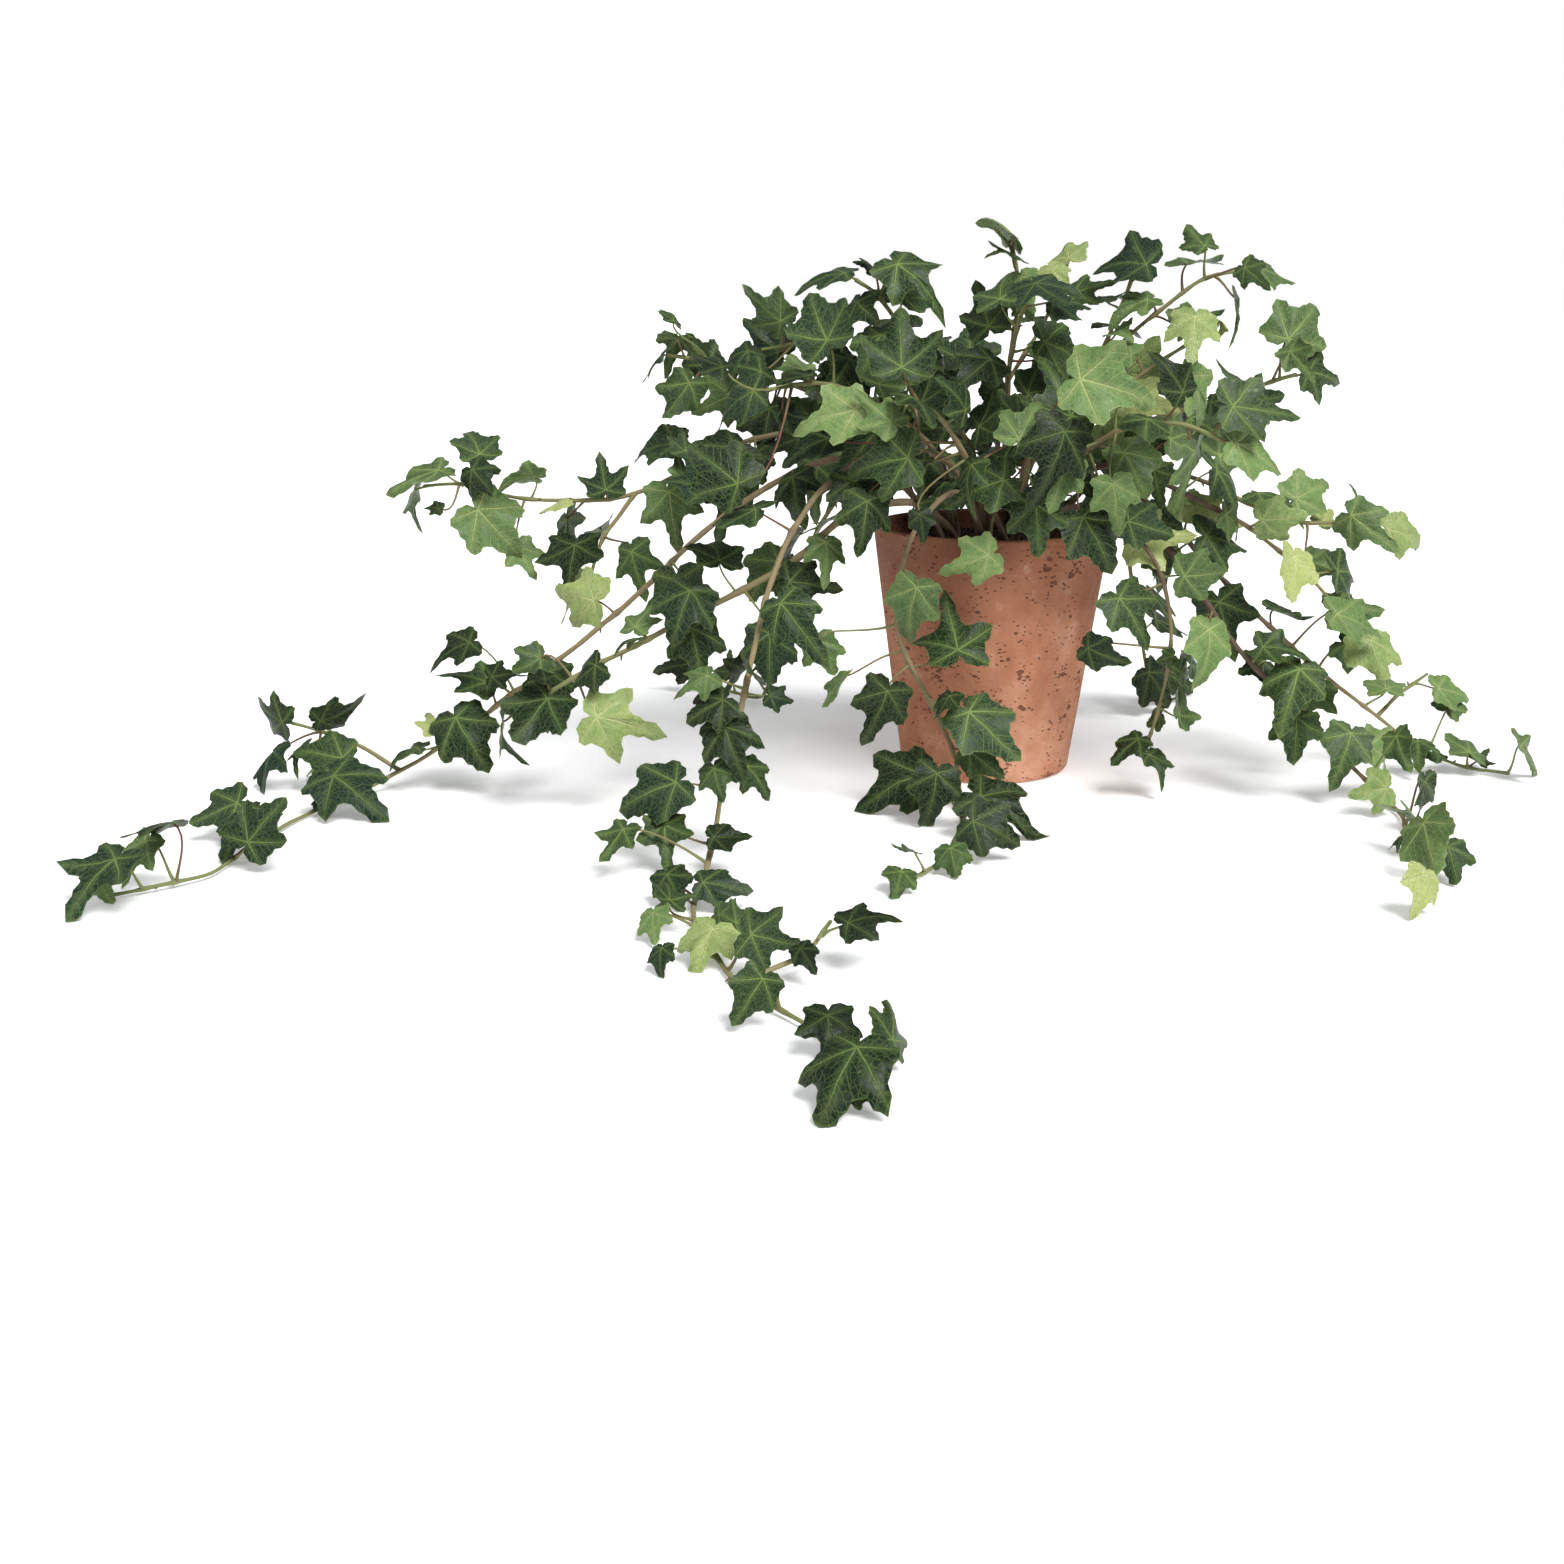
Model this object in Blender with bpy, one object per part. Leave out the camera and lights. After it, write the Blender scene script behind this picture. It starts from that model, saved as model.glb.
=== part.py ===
"""Potted ivy: a plain tapered terracotta pot, its potting soil and the ivy growing in it.

Sizes are in metres. The origin is the middle of the pot's underside, +Z is up and the
front of the plant looks along -Y. Each vine grew as one body, so its stem, leaf stalks and
leaf blades are one closed solid. Every vine stands in its own socket in the soil, and the
long ones run over the rim and lie along the surface that the pot stands on.
"""

import math
import random
from collections import namedtuple

import bmesh
import bpy
from mathutils import Quaternion, Vector
from mathutils.bvhtree import BVHTree

# ---- Driving dimensions ----------------------------------------------------------------

POT_HEIGHT = 0.160
POT_RIM_RADIUS = 0.0765
POT_BASE_RADIUS = 0.0550
POT_WALL = 0.0070
POT_FLOOR = 0.0100
RIM_ROUND = 0.0020
BASE_ROUND = 0.0030
POT_SIDES = 40

HEADSPACE = 0.0120          # from the rim down to the edge of the soil
SOIL_CROWN = 0.0030         # how much higher the soil is in the middle
SOIL_SIDES = 32
FIT = 0.0004                # clearance between pieces that touch

SOCKET_DEPTH = 0.0080
STEM_SIDES = 5
STEM_STEP = 0.0190          # distance between the rings of a stem
STEM_SCALE = 1.0            # thickness of every stem against its listed radius
STALK_RADIUS = 0.00075
STALK_SIDES = 3
STALK_CLEAR = 0.0030        # where a stalk is clear of its own stem
STALK_RISE = 0.55           # how steeply a stalk comes up behind its blade
BLADE_THICKNESS = 0.0013
LEAF_SCALE = 1.0            # size of every leaf against its listed length
GUARD = 0.0005              # free space kept round every leaf and stem
GUARD_WIDER = 1.04          # and the width of a blade's guard against the blade

# The vines' routes were drawn round a pot of this height and rim radius.
DRAWN_HEIGHT = 0.160
DRAWN_RADIUS = 0.0765

# ---- The vines -------------------------------------------------------------------------

# stems: routes from the soil outwards, a fork starting at a point of its parent's route.
# radius: at the foot and at the tip.
# leaves: distance from the foot to the first leaf and from each leaf to the next one,
# then the length of the first blade and of the last one.
Vine = namedtuple("Vine", "stems radius leaves")

VINES = {
    "left_long_vine": Vine(
        (((-0.034, -0.018), (-0.058, -0.024, 0.186), (-0.090, -0.030, 0.204),
          (-0.124, -0.036, 0.198), (-0.178, -0.050, 0.166), (-0.246, -0.058, 0.106),
          (-0.320, -0.060, 0.050), (-0.378, -0.064, 0.012), (-0.416, -0.112, 0.003),
          (-0.436, -0.180, 0.003), (-0.446, -0.236, 0.003), (-0.474, -0.262, 0.003),
          (-0.490, -0.272, 0.003)),
         ((-0.378, -0.064, 0.012), (-0.412, -0.052, 0.028), (-0.450, -0.044, 0.038))),
        (0.0019, 0.0008), (0.080, 0.048, 0.042, 0.030)),
    "left_thick_vine": Vine(
        (((-0.026, -0.034), (-0.052, -0.056, 0.180), (-0.094, -0.076, 0.176),
          (-0.134, -0.086, 0.146), (-0.200, -0.094, 0.112), (-0.262, -0.100, 0.080),
          (-0.300, -0.102, 0.058)),),
        (0.0022, 0.0010), (0.110, 0.034, 0.042, 0.036)),
    "left_upper_vine": Vine(
        (((-0.022, 0.006), (-0.048, 0.010, 0.198), (-0.090, 0.015, 0.220),
          (-0.160, 0.020, 0.210), (-0.232, 0.028, 0.176), (-0.300, 0.030, 0.172),
          (-0.348, 0.030, 0.182), (-0.372, 0.030, 0.180)),
         ((-0.232, 0.028, 0.176), (-0.252, 0.020, 0.150), (-0.262, 0.014, 0.122))),
        (0.0018, 0.0008), (0.080, 0.036, 0.043, 0.034)),
    "centre_left_vine": Vine(
        (((-0.010, -0.046), (-0.034, -0.062, 0.205), (-0.080, -0.076, 0.212),
          (-0.118, -0.096, 0.186), (-0.136, -0.116, 0.158), (-0.148, -0.150, 0.124),
          (-0.157, -0.180, 0.090), (-0.167, -0.198, 0.050), (-0.173, -0.212, 0.016),
          (-0.178, -0.250, 0.004), (-0.180, -0.305, 0.003), (-0.156, -0.390, 0.003),
          (-0.126, -0.436, 0.003), (-0.108, -0.470, 0.003), (-0.108, -0.510, 0.003)),
         ((-0.156, -0.390, 0.003), (-0.126, -0.376, 0.010), (-0.112, -0.352, 0.018))),
        (0.0017, 0.0008), (0.090, 0.052, 0.042, 0.022)),
    "front_vine": Vine(
        (((0.004, -0.052), (-0.012, -0.062, 0.182), (-0.034, -0.074, 0.188),
          (-0.052, -0.086, 0.174), (-0.062, -0.096, 0.154), (-0.068, -0.100, 0.127),
          (-0.062, -0.100, 0.097), (-0.045, -0.096, 0.064), (-0.030, -0.095, 0.033),
          (-0.026, -0.110, 0.006), (-0.030, -0.150, 0.003), (-0.047, -0.215, 0.003),
          (-0.070, -0.250, 0.003)),),
        (0.0016, 0.0008), (0.070, 0.060, 0.042, 0.028)),
    "right_low_vine": Vine(
        (((0.030, -0.040), (0.050, -0.048, 0.178), (0.078, -0.052, 0.176),
          (0.113, -0.062, 0.140), (0.145, -0.070, 0.095), (0.188, -0.080, 0.052),
          (0.222, -0.085, 0.018), (0.238, -0.112, 0.003), (0.229, -0.165, 0.003),
          (0.213, -0.239, 0.003), (0.196, -0.284, 0.003)),),
        (0.0017, 0.0008), (0.070, 0.042, 0.042, 0.022)),
    "right_long_vine": Vine(
        (((0.040, -0.008), (0.060, -0.012, 0.186), (0.094, -0.018, 0.178),
          (0.138, -0.020, 0.136), (0.197, -0.020, 0.080), (0.255, -0.018, 0.036),
          (0.292, -0.016, 0.010), (0.320, -0.028, 0.003), (0.336, -0.040, 0.003)),
         ((0.255, -0.018, 0.036), (0.276, 0.000, 0.048), (0.296, 0.010, 0.058))),
        (0.0018, 0.0008), (0.080, 0.042, 0.042, 0.028)),
    "right_hanging_vine": Vine(
        (((0.017, -0.053), (0.038, -0.064, 0.178), (0.066, -0.070, 0.174),
          (0.094, -0.074, 0.142), (0.104, -0.074, 0.100), (0.100, -0.072, 0.056),
          (0.092, -0.072, 0.022)),),
        (0.0015, 0.0008), (0.080, 0.044, 0.034, 0.022)),
    "right_drooping_vine": Vine(
        (((0.036, 0.006), (0.056, 0.008, 0.188), (0.090, 0.008, 0.198),
          (0.148, 0.006, 0.182), (0.188, 0.004, 0.162), (0.220, 0.002, 0.160),
          (0.250, 0.000, 0.156)),),
        (0.0016, 0.0008), (0.070, 0.024, 0.042, 0.032)),
    "right_middle_vine": Vine(
        (((0.045, -0.026), (0.064, -0.032, 0.190), (0.100, -0.042, 0.190),
          (0.154, -0.050, 0.164), (0.196, -0.054, 0.130), (0.226, -0.056, 0.096)),),
        (0.0016, 0.0008), (0.080, 0.024, 0.042, 0.032)),
    "right_upper_sprig": Vine(
        (((0.026, 0.020), (0.042, 0.024, 0.192), (0.082, 0.030, 0.214),
          (0.128, 0.034, 0.230), (0.166, 0.032, 0.242), (0.198, 0.028, 0.252)),),
        (0.0016, 0.0009), (0.060, 0.0167, 0.042, 0.034)),
    "top_centre_sprig": Vine(
        (((0.000, 0.020), (0.010, 0.028, 0.197), (0.012, 0.032, 0.249),
          (0.016, 0.032, 0.300), (0.012, 0.030, 0.328), (0.000, 0.028, 0.342)),
         ((0.012, 0.032, 0.249), (0.034, 0.040, 0.284), (0.048, 0.042, 0.320))),
        (0.0017, 0.0008), (0.042, 0.0195, 0.042, 0.026)),
    "top_right_sprig": Vine(
        (((0.014, 0.002), (0.028, 0.002, 0.205), (0.061, 0.002, 0.252),
          (0.097, 0.000, 0.290), (0.128, 0.000, 0.312), (0.154, 0.000, 0.318)),
         ((0.061, 0.002, 0.252), (0.076, 0.006, 0.290), (0.088, 0.008, 0.328))),
        (0.0017, 0.0008), (0.040, 0.0223, 0.044, 0.030)),
    "top_left_sprig": Vine(
        (((-0.010, -0.006), (-0.014, -0.008, 0.205), (-0.044, -0.012, 0.248),
          (-0.060, -0.012, 0.280), (-0.076, -0.012, 0.302), (-0.090, -0.012, 0.312)),),
        (0.0017, 0.0009), (0.036, 0.0155, 0.044, 0.034)),
    "left_sprig": Vine(
        (((-0.023, -0.014), (-0.038, -0.032, 0.205), (-0.078, -0.048, 0.240),
          (-0.114, -0.054, 0.252), (-0.144, -0.056, 0.248)),),
        (0.0016, 0.0010), (0.036, 0.0145, 0.044, 0.038)),
    "left_back_sprig": Vine(
        (((-0.034, 0.022), (-0.062, 0.034, 0.205), (-0.104, 0.042, 0.236),
          (-0.154, 0.046, 0.250), (-0.184, 0.046, 0.260), (-0.210, 0.044, 0.264)),),
        (0.0017, 0.0009), (0.042, 0.0165, 0.042, 0.032)),
    "left_crown_sprig": Vine(
        (((-0.022, 0.022), (-0.034, 0.022, 0.205), (-0.062, 0.022, 0.244),
          (-0.096, 0.020, 0.266), (-0.128, 0.018, 0.272), (-0.152, 0.016, 0.268)),),
        (0.0016, 0.0009), (0.042, 0.0150, 0.042, 0.034)),
    "front_centre_sprig": Vine(
        (((0.012, -0.036), (0.012, -0.052, 0.190), (0.014, -0.070, 0.220),
          (0.018, -0.086, 0.234), (0.024, -0.100, 0.232)),),
        (0.0016, 0.0010), (0.024, 0.0125, 0.042, 0.040)),
    "front_left_sprig": Vine(
        (((-0.006, -0.030), (-0.018, -0.050, 0.196), (-0.040, -0.074, 0.232),
          (-0.062, -0.090, 0.244), (-0.086, -0.100, 0.240)),),
        (0.0016, 0.0010), (0.026, 0.0130, 0.044, 0.040)),
    "front_right_sprig": Vine(
        (((0.028, -0.024), (0.044, -0.044, 0.202), (0.070, -0.064, 0.226),
          (0.098, -0.074, 0.230), (0.126, -0.078, 0.220)),),
        (0.0016, 0.0010), (0.026, 0.0150, 0.044, 0.038)),
    "bright_sprig": Vine(
        (((0.012, -0.014), (0.034, -0.022, 0.205), (0.070, -0.030, 0.244),
          (0.104, -0.034, 0.268), (0.130, -0.034, 0.286)),),
        (0.0015, 0.0008), (0.038, 0.0149, 0.042, 0.032)),
    "crown_sprig": Vine(
        (((0.000, 0.004), (0.002, 0.000, 0.205), (0.006, -0.010, 0.252),
          (0.010, -0.022, 0.286), (0.014, -0.034, 0.304)),),
        (0.0016, 0.0010), (0.038, 0.0149, 0.044, 0.036)),
    "back_left_vine": Vine(
        (((-0.020, 0.044), (-0.040, 0.064, 0.188), (-0.072, 0.090, 0.190),
          (-0.104, 0.116, 0.150), (-0.124, 0.136, 0.096), (-0.138, 0.152, 0.044),
          (-0.150, 0.168, 0.006), (-0.172, 0.190, 0.003), (-0.200, 0.206, 0.003)),),
        (0.0017, 0.0008), (0.060, 0.036, 0.042, 0.028)),
    "back_right_vine": Vine(
        (((0.024, 0.044), (0.044, 0.064, 0.186), (0.078, 0.090, 0.182),
          (0.106, 0.112, 0.140), (0.122, 0.128, 0.086), (0.134, 0.142, 0.036),
          (0.146, 0.158, 0.004), (0.172, 0.180, 0.003)),),
        (0.0017, 0.0008), (0.060, 0.036, 0.042, 0.030)),
    "back_hanging_vine": Vine(
        (((0.004, 0.052), (0.006, 0.074, 0.182), (0.004, 0.100, 0.176),
          (0.000, 0.116, 0.136), (-0.006, 0.120, 0.090), (-0.010, 0.120, 0.050)),),
        (0.0015, 0.0008), (0.050, 0.034, 0.040, 0.028)),
    "back_centre_sprig": Vine(
        (((-0.008, 0.034), (-0.012, 0.050, 0.200), (-0.020, 0.074, 0.238),
          (-0.026, 0.092, 0.258), (-0.030, 0.108, 0.266)),),
        (0.0016, 0.0010), (0.040, 0.019, 0.044, 0.038)),
    "back_right_sprig": Vine(
        (((0.042, 0.028), (0.060, 0.050, 0.190), (0.090, 0.078, 0.214),
          (0.114, 0.092, 0.224), (0.138, 0.100, 0.218)),),
        (0.0016, 0.0010), (0.040, 0.02, 0.042, 0.036)),
    "back_left_sprig": Vine(
        (((-0.040, 0.036), (-0.060, 0.056, 0.196), (-0.084, 0.074, 0.222),
          (-0.110, 0.090, 0.228), (-0.134, 0.100, 0.218)),),
        (0.0016, 0.0010), (0.040, 0.02, 0.042, 0.036)),
}

# Leaves that hang clear of the mound and so have a known place: where the stalk meets the
# blade, then which way its tip points, clockwise from straight up as seen from the front,
# how far the blade is turned about its midrib, and its length.
Held = namedtuple("Held", "x y z turn lean length")

HELD = {
    "left_long_vine": (
        (-0.481, -0.276, 0.012, 210, 15, 0.039), (-0.458, -0.254, 0.038, 260, 60, 0.028),
        (-0.459, -0.257, 0.019, 10, 10, 0.032), (-0.484, -0.278, 0.034, 230, 40, 0.02),
        (-0.432, -0.188, 0.004, 200, 10, 0.04), (-0.407, -0.115, 0.004, 130, 0, 0.045),
        (-0.465, -0.052, 0.019, 200, 20, 0.039), (-0.469, -0.052, 0.041, 30, 125, 0.026),
        (-0.429, -0.055, 0.048, 55, 115, 0.039), (-0.432, -0.057, 0.016, 210, 40, 0.021),
        (-0.34, -0.069, 0.048, 150, 10, 0.038), (-0.352, -0.07, 0.045, 5, 35, 0.03),
        (-0.329, -0.068, 0.096, 250, 0, 0.027), (-0.316, -0.068, 0.077, 80, 20, 0.021),
    ),
    "left_thick_vine": (
        (-0.275, -0.109, 0.069, 220, 0, 0.042), (-0.246, -0.108, 0.055, 100, 0, 0.039),
        (-0.278, -0.108, 0.11, 230, 165, 0.022), (-0.215, -0.104, 0.1, 260, 55, 0.021),
        (-0.143, -0.097, 0.103, 180, 0, 0.032), (-0.128, -0.093, 0.142, 105, 0, 0.037),
        (-0.173, -0.094, 0.151, 350, 20, 0.03), (-0.19, -0.1, 0.134, 200, 0, 0.034),
        (-0.107, -0.088, 0.162, 200, 0, 0.032),
    ),
    "left_upper_vine": (
        (-0.36, 0.022, 0.192, 245, 25, 0.039), (-0.338, 0.022, 0.192, 145, 30, 0.025),
        (-0.335, 0.022, 0.164, 135, 0, 0.041), (-0.358, 0.022, 0.147, 280, 20, 0.011),
        (-0.271, 0.009, 0.145, 185, 10, 0.038), (-0.251, 0.021, 0.179, 350, 0, 0.031),
        (-0.214, 0.014, 0.135, 185, 40, 0.036), (-0.278, 0.021, 0.169, 235, 20, 0.024),
        (-0.31, 0.022, 0.141, 155, 160, 0.026),
        (-0.18, 0.004, 0.213, 300, 160, 0.036), (-0.152, 0.004, 0.205, 170, 10, 0.022),
        (-0.129, 0.004, 0.213, 265, 20, 0.024), (-0.2, 0.008, 0.201, 340, 0, 0.032),
        (-0.21, 0.016, 0.178, 170, 0, 0.036), (-0.166, 0.004, 0.181, 200, 0, 0.034),
        (-0.111, -0.004, 0.195, 190, 20, 0.032),
    ),
    "centre_left_vine": (
        (-0.142, -0.186, 0.089, 105, 10, 0.014), (-0.177, -0.183, 0.101, 240, 5, 0.021),
        (-0.168, -0.191, 0.089, 240, 5, 0.025), (-0.169, -0.197, 0.074, 155, 0, 0.035),
        (-0.194, -0.21, 0.047, 250, 0, 0.035), (-0.2, -0.219, 0.025, 175, 0, 0.027),
        (-0.217, -0.226, 0.03, 190, 60, 0.031), (-0.174, -0.228, 0.016, 45, 0, 0.034),
        (-0.173, -0.206, 0.054, 170, 20, 0.02), (-0.176, -0.285, 0.005, 95, 10, 0.026),
        (-0.194, -0.277, 0.011, 160, 25, 0.027), (-0.168, -0.356, 0.005, 205, 5, 0.025),
        (-0.163, -0.356, 0.01, 80, 55, 0.027), (-0.127, -0.382, 0.017, 155, 15, 0.015),
        (-0.202, -0.313, 0.004, 0, 35, 0.019), (-0.199, -0.326, 0.004, 180, 30, 0.019),
        (-0.192, -0.368, 0.004, 195, 20, 0.016), (-0.116, -0.459, 0.01, 180, 0, 0.024),
        (-0.09, -0.478, 0.009, 10, 50, 0.024), (-0.106, -0.504, 0.007, 210, 15, 0.036),
    ),
    "front_vine": (
        (-0.008, -0.088, 0.150, 235, 0, 0.037), (-0.03, -0.106, 0.099, 355, 0, 0.045),
        (-0.033, -0.104, 0.068, 210, 30, 0.02), (-0.022, -0.104, 0.06, 140, 0, 0.045),
        (-0.05, -0.11, 0.019, 250, 0, 0.045), (-0.02, -0.158, 0.004, 120, 0, 0.045),
        (-0.073, -0.258, 0.004, 265, 15, 0.02), (-0.043, -0.225, 0.004, 175, 10, 0.019),
        (-0.111, -0.108, 0.109, 160, 170, 0.025), (-0.098, -0.108, 0.084, 235, 60, 0.027),
    ),
    "right_hanging_vine": (
        (0.106, -0.081, 0.084, 30, 20, 0.028), (0.11, -0.08, 0.052, 15, 50, 0.026),
        (0.087, -0.08, 0.036, 235, 20, 0.024), (0.068, -0.082, 0.124, 145, 0, 0.033),
        (0.052, -0.081, 0.095, 125, 55, 0.026),
    ),
    "right_low_vine": (
        (0.182, -0.085, 0.083, 200, 10, 0.045), (0.169, -0.082, 0.094, 240, 160, 0.023),
        (0.218, -0.091, 0.039, 195, 15, 0.043), (0.212, -0.232, 0.006, 190, 55, 0.038),
        (0.221, -0.203, 0.006, 355, 65, 0.028), (0.238, -0.097, 0.04, 170, 55, 0.036),
    ),
    "right_long_vine": (
        (0.306, 0.0, 0.035, 35, 10, 0.026), (0.297, -0.028, 0.006, 320, 5, 0.024),
        (0.312, -0.034, 0.016, 15, 15, 0.028), (0.322, -0.04, 0.004, 80, 50, 0.035),
        (0.218, -0.028, 0.109, 85, 15, 0.035), (0.227, -0.027, 0.086, 130, 20, 0.028),
    ),
    "right_drooping_vine": (
        (0.23, -0.007, 0.166, 140, 40, 0.032), (0.206, -0.005, 0.138, 120, 5, 0.026),
    ),
    "top_right_sprig": (
        (0.125, -0.008, 0.332, 330, 5, 0.021), (0.153, -0.008, 0.32, 110, 0, 0.029),
        (0.093, 0.0, 0.322, 300, 0, 0.038), (0.092, -0.008, 0.3, 250, 15, 0.026),
    ),
    "bright_sprig": (
        (0.114, -0.042, 0.291, 190, 0, 0.033), (0.123, -0.042, 0.301, 120, 50, 0.02),
    ),
    "right_upper_sprig": (
        (0.163, 0.024, 0.234, 80, 0, 0.032), (0.19, 0.02, 0.268, 155, 30, 0.023),
        (0.214, 0.02, 0.253, 155, 10, 0.029),
    ),
    "top_left_sprig": (
        (-0.065, -0.02, 0.321, 135, 0, 0.04), (-0.094, -0.02, 0.31, 355, 60, 0.023),
    ),
    "top_centre_sprig": (
        (0.042, 0.034, 0.328, 155, 160, 0.031), (0.036, 0.034, 0.319, 145, 10, 0.021),
        (0.009, 0.021, 0.337, 325, 60, 0.029), (0.016, 0.023, 0.314, 175, 20, 0.027),
    ),
    "left_sprig": (
        (-0.161, -0.064, 0.177, 310, 0, 0.04), (-0.19, -0.064, 0.199, 275, 10, 0.026),
    ),
    "front_left_sprig": (
        (-0.063, -0.098, 0.205, 265, 0, 0.035), (-0.065, -0.084, 0.165, 190, 20, 0.025),
        (-0.095, -0.062, 0.165, 200, 0, 0.034), (-0.101, -0.05, 0.183, 250, 25, 0.031),
        (-0.082, -0.088, 0.213, 300, 0, 0.034), (-0.041, -0.088, 0.186, 215, 15, 0.03),
    ),
    "front_centre_sprig": (
        (-0.005, -0.096, 0.199, 250, 0, 0.034), (-0.026, -0.098, 0.205, 200, 40, 0.03),
        (0.015, -0.092, 0.184, 175, 0, 0.03), (0.003, -0.104, 0.223, 20, 0, 0.033),
    ),
    "front_right_sprig": (
        (0.044, -0.09, 0.176, 150, 0, 0.038), (0.021, -0.088, 0.147, 140, 0, 0.04),
        (0.032, -0.098, 0.21, 200, 0, 0.032), (0.059, -0.098, 0.197, 170, 0, 0.028),
        (0.073, -0.08, 0.173, 110, 20, 0.03),
    ),
    "left_back_sprig": (
        (-0.167, 0.036, 0.242, 235, 160, 0.032), (-0.193, 0.036, 0.243, 215, 20, 0.032),
        (-0.213, 0.036, 0.271, 25, 0, 0.026), (-0.189, 0.036, 0.271, 330, 165, 0.026),
        (-0.207, 0.036, 0.241, 195, 0, 0.036), (-0.143, 0.032, 0.23, 190, 10, 0.034),
    ),
    "left_crown_sprig": (
        (-0.137, 0.012, 0.272, 330, 160, 0.034), (-0.151, 0.008, 0.255, 235, 0, 0.032),
        (-0.116, 0.012, 0.281, 20, 150, 0.038), (-0.095, 0.006, 0.25, 200, 0, 0.04),
    ),
}

# ---- How ivy holds its leaves ----------------------------------------------------------

UP = Vector((0.0, 0.0, 1.0))
LIGHT = Vector((-0.06, -0.80, 0.60)).normalized()   # the blades turn their faces this way
HEART = Vector((0.0, 0.0, 0.170))                   # and away from the middle of the plant
ATTEMPTS = 20
SEED = 7

# An ivy blade round its stalk: degrees from the midrib, reach as a share of its length.
LOBES = ((0, 1.0), (23, 0.60), (51, 0.80), (82, 0.52), (116, 0.56), (180, 0.10))
OUTLINE = LOBES + tuple((-angle, reach) for angle, reach in LOBES[-2:0:-1])

BLADE_MIDDLE = 0.22         # the thickest place, ahead of the stalk

# foot: on the stem's middle line. base: where the stalk meets the blade. across, along
# and face: the blade's own directions, sideways, towards its tip and out of its face.
Leaf = namedtuple("Leaf", "foot base across along face length")

SOIL_EDGE = POT_HEIGHT - HEADSPACE


def outer_radius(height):
    share = height / POT_HEIGHT
    return POT_BASE_RADIUS + (POT_RIM_RADIUS - POT_BASE_RADIUS) * share


def soil_height(x, y):
    share = min(1.0, math.hypot(x, y) / (outer_radius(SOIL_EDGE) - POT_WALL))
    return SOIL_EDGE + SOIL_CROWN * (1.0 - share * share)


def fitted(x, y, z):
    """A drawn point, carried over to this pot's height and rim."""
    reach = math.hypot(x, y)
    wider = (POT_RIM_RADIUS - DRAWN_RADIUS) * min(1.0, reach / DRAWN_RADIUS)
    spread = 1.0 + wider / reach
    if z < DRAWN_HEIGHT:
        height = z * POT_HEIGHT / DRAWN_HEIGHT
    else:
        height = z + POT_HEIGHT - DRAWN_HEIGHT
    return Vector((x * spread, y * spread, height))


def smooth(points, step):
    """Points about one step apart on a smooth curve through the given ones."""
    ends = [2 * points[0] - points[1], *points, 2 * points[-1] - points[-2]]
    curve = []
    for a, b, c, d in zip(ends, ends[1:], ends[2:], ends[3:]):
        pieces = max(1, round((c - b).length / step))
        for i in range(pieces):
            t = i / pieces
            curve.append(0.5 * (2 * b + (c - a) * t + (2 * a - 5 * b + 4 * c - d) * t ** 2
                                + (3 * b - a - 3 * c + d) * t ** 3))
    return curve + [points[-1]]


def stem_curves(vine):
    """Each stem of a vine as its centre line and its radii; the first stands in the soil."""
    foot_x, foot_y = vine.stems[0][0]
    ground = soil_height(foot_x, foot_y)
    thick, thin = (radius * STEM_SCALE for radius in vine.radius)
    curves = []
    for route in vine.stems:
        if curves:
            points = [fitted(*point) for point in route]
            start = 0.5
        else:
            points = [Vector((foot_x, foot_y, ground - SOCKET_DEPTH + FIT)),
                      Vector((foot_x, foot_y, ground + SOCKET_DEPTH / 2))]
            points += [fitted(*point) for point in route[1:]]
            start = 0.0
        line = smooth(points, STEM_STEP)
        shares = [start + (1 - start) * i / (len(line) - 1) for i in range(len(line))]
        radii = [thick + (thin - thick) * share for share in shares]
        for point, radius in zip(line, radii):
            point.z = max(point.z, radius + FIT)
        curves.append((line, radii))
    return curves


def tube(line, radii, sides):
    """Rings of a round stem along a line, carried along it without a twist."""
    across = (line[1] - line[0]).orthogonal().normalized()
    rings = []
    for i, (point, radius) in enumerate(zip(line, radii)):
        ahead = (line[min(i + 1, len(line) - 1)] - line[max(i - 1, 0)]).normalized()
        across = (across - ahead * across.dot(ahead)).normalized()
        other = ahead.cross(across)
        turns = [math.tau * k / sides for k in range(sides)]
        rings.append([point + (across * math.cos(a) + other * math.sin(a)) * radius
                      for a in turns])
    return rings


def blade_point(leaf, side, ahead, lift=0.0):
    """A place on the blade; side and ahead are shares of its length from the stalk."""
    droop = 0.14 * abs(side) + 0.20 * ahead * abs(ahead)
    flat = leaf.across * side + leaf.along * ahead - leaf.face * droop
    return leaf.base + flat * leaf.length + leaf.face * lift


def blade_rim(leaf, wider=1.0, lift=0.0):
    rim = []
    for angle, reach in OUTLINE:
        turn = math.radians(angle)
        rim.append(blade_point(leaf, math.sin(turn) * reach * wider,
                               math.cos(turn) * reach * wider, lift))
    return rim


def bridged(low, high):
    """Triangles between two loops of corner numbers; a loop of one is a pole."""
    faces = []
    i = j = 0
    while i < len(low) or j < len(high):
        here, there = low[i % len(low)], high[j % len(high)]
        if j == len(high) or (i < len(low) and (i + 1) * len(high) <= (j + 1) * len(low)):
            i += 1
            step = low[i % len(low)]
        else:
            j += 1
            step = high[j % len(high)]
        if step not in (here, there):
            faces.append((here, step, there))
    return faces


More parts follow.
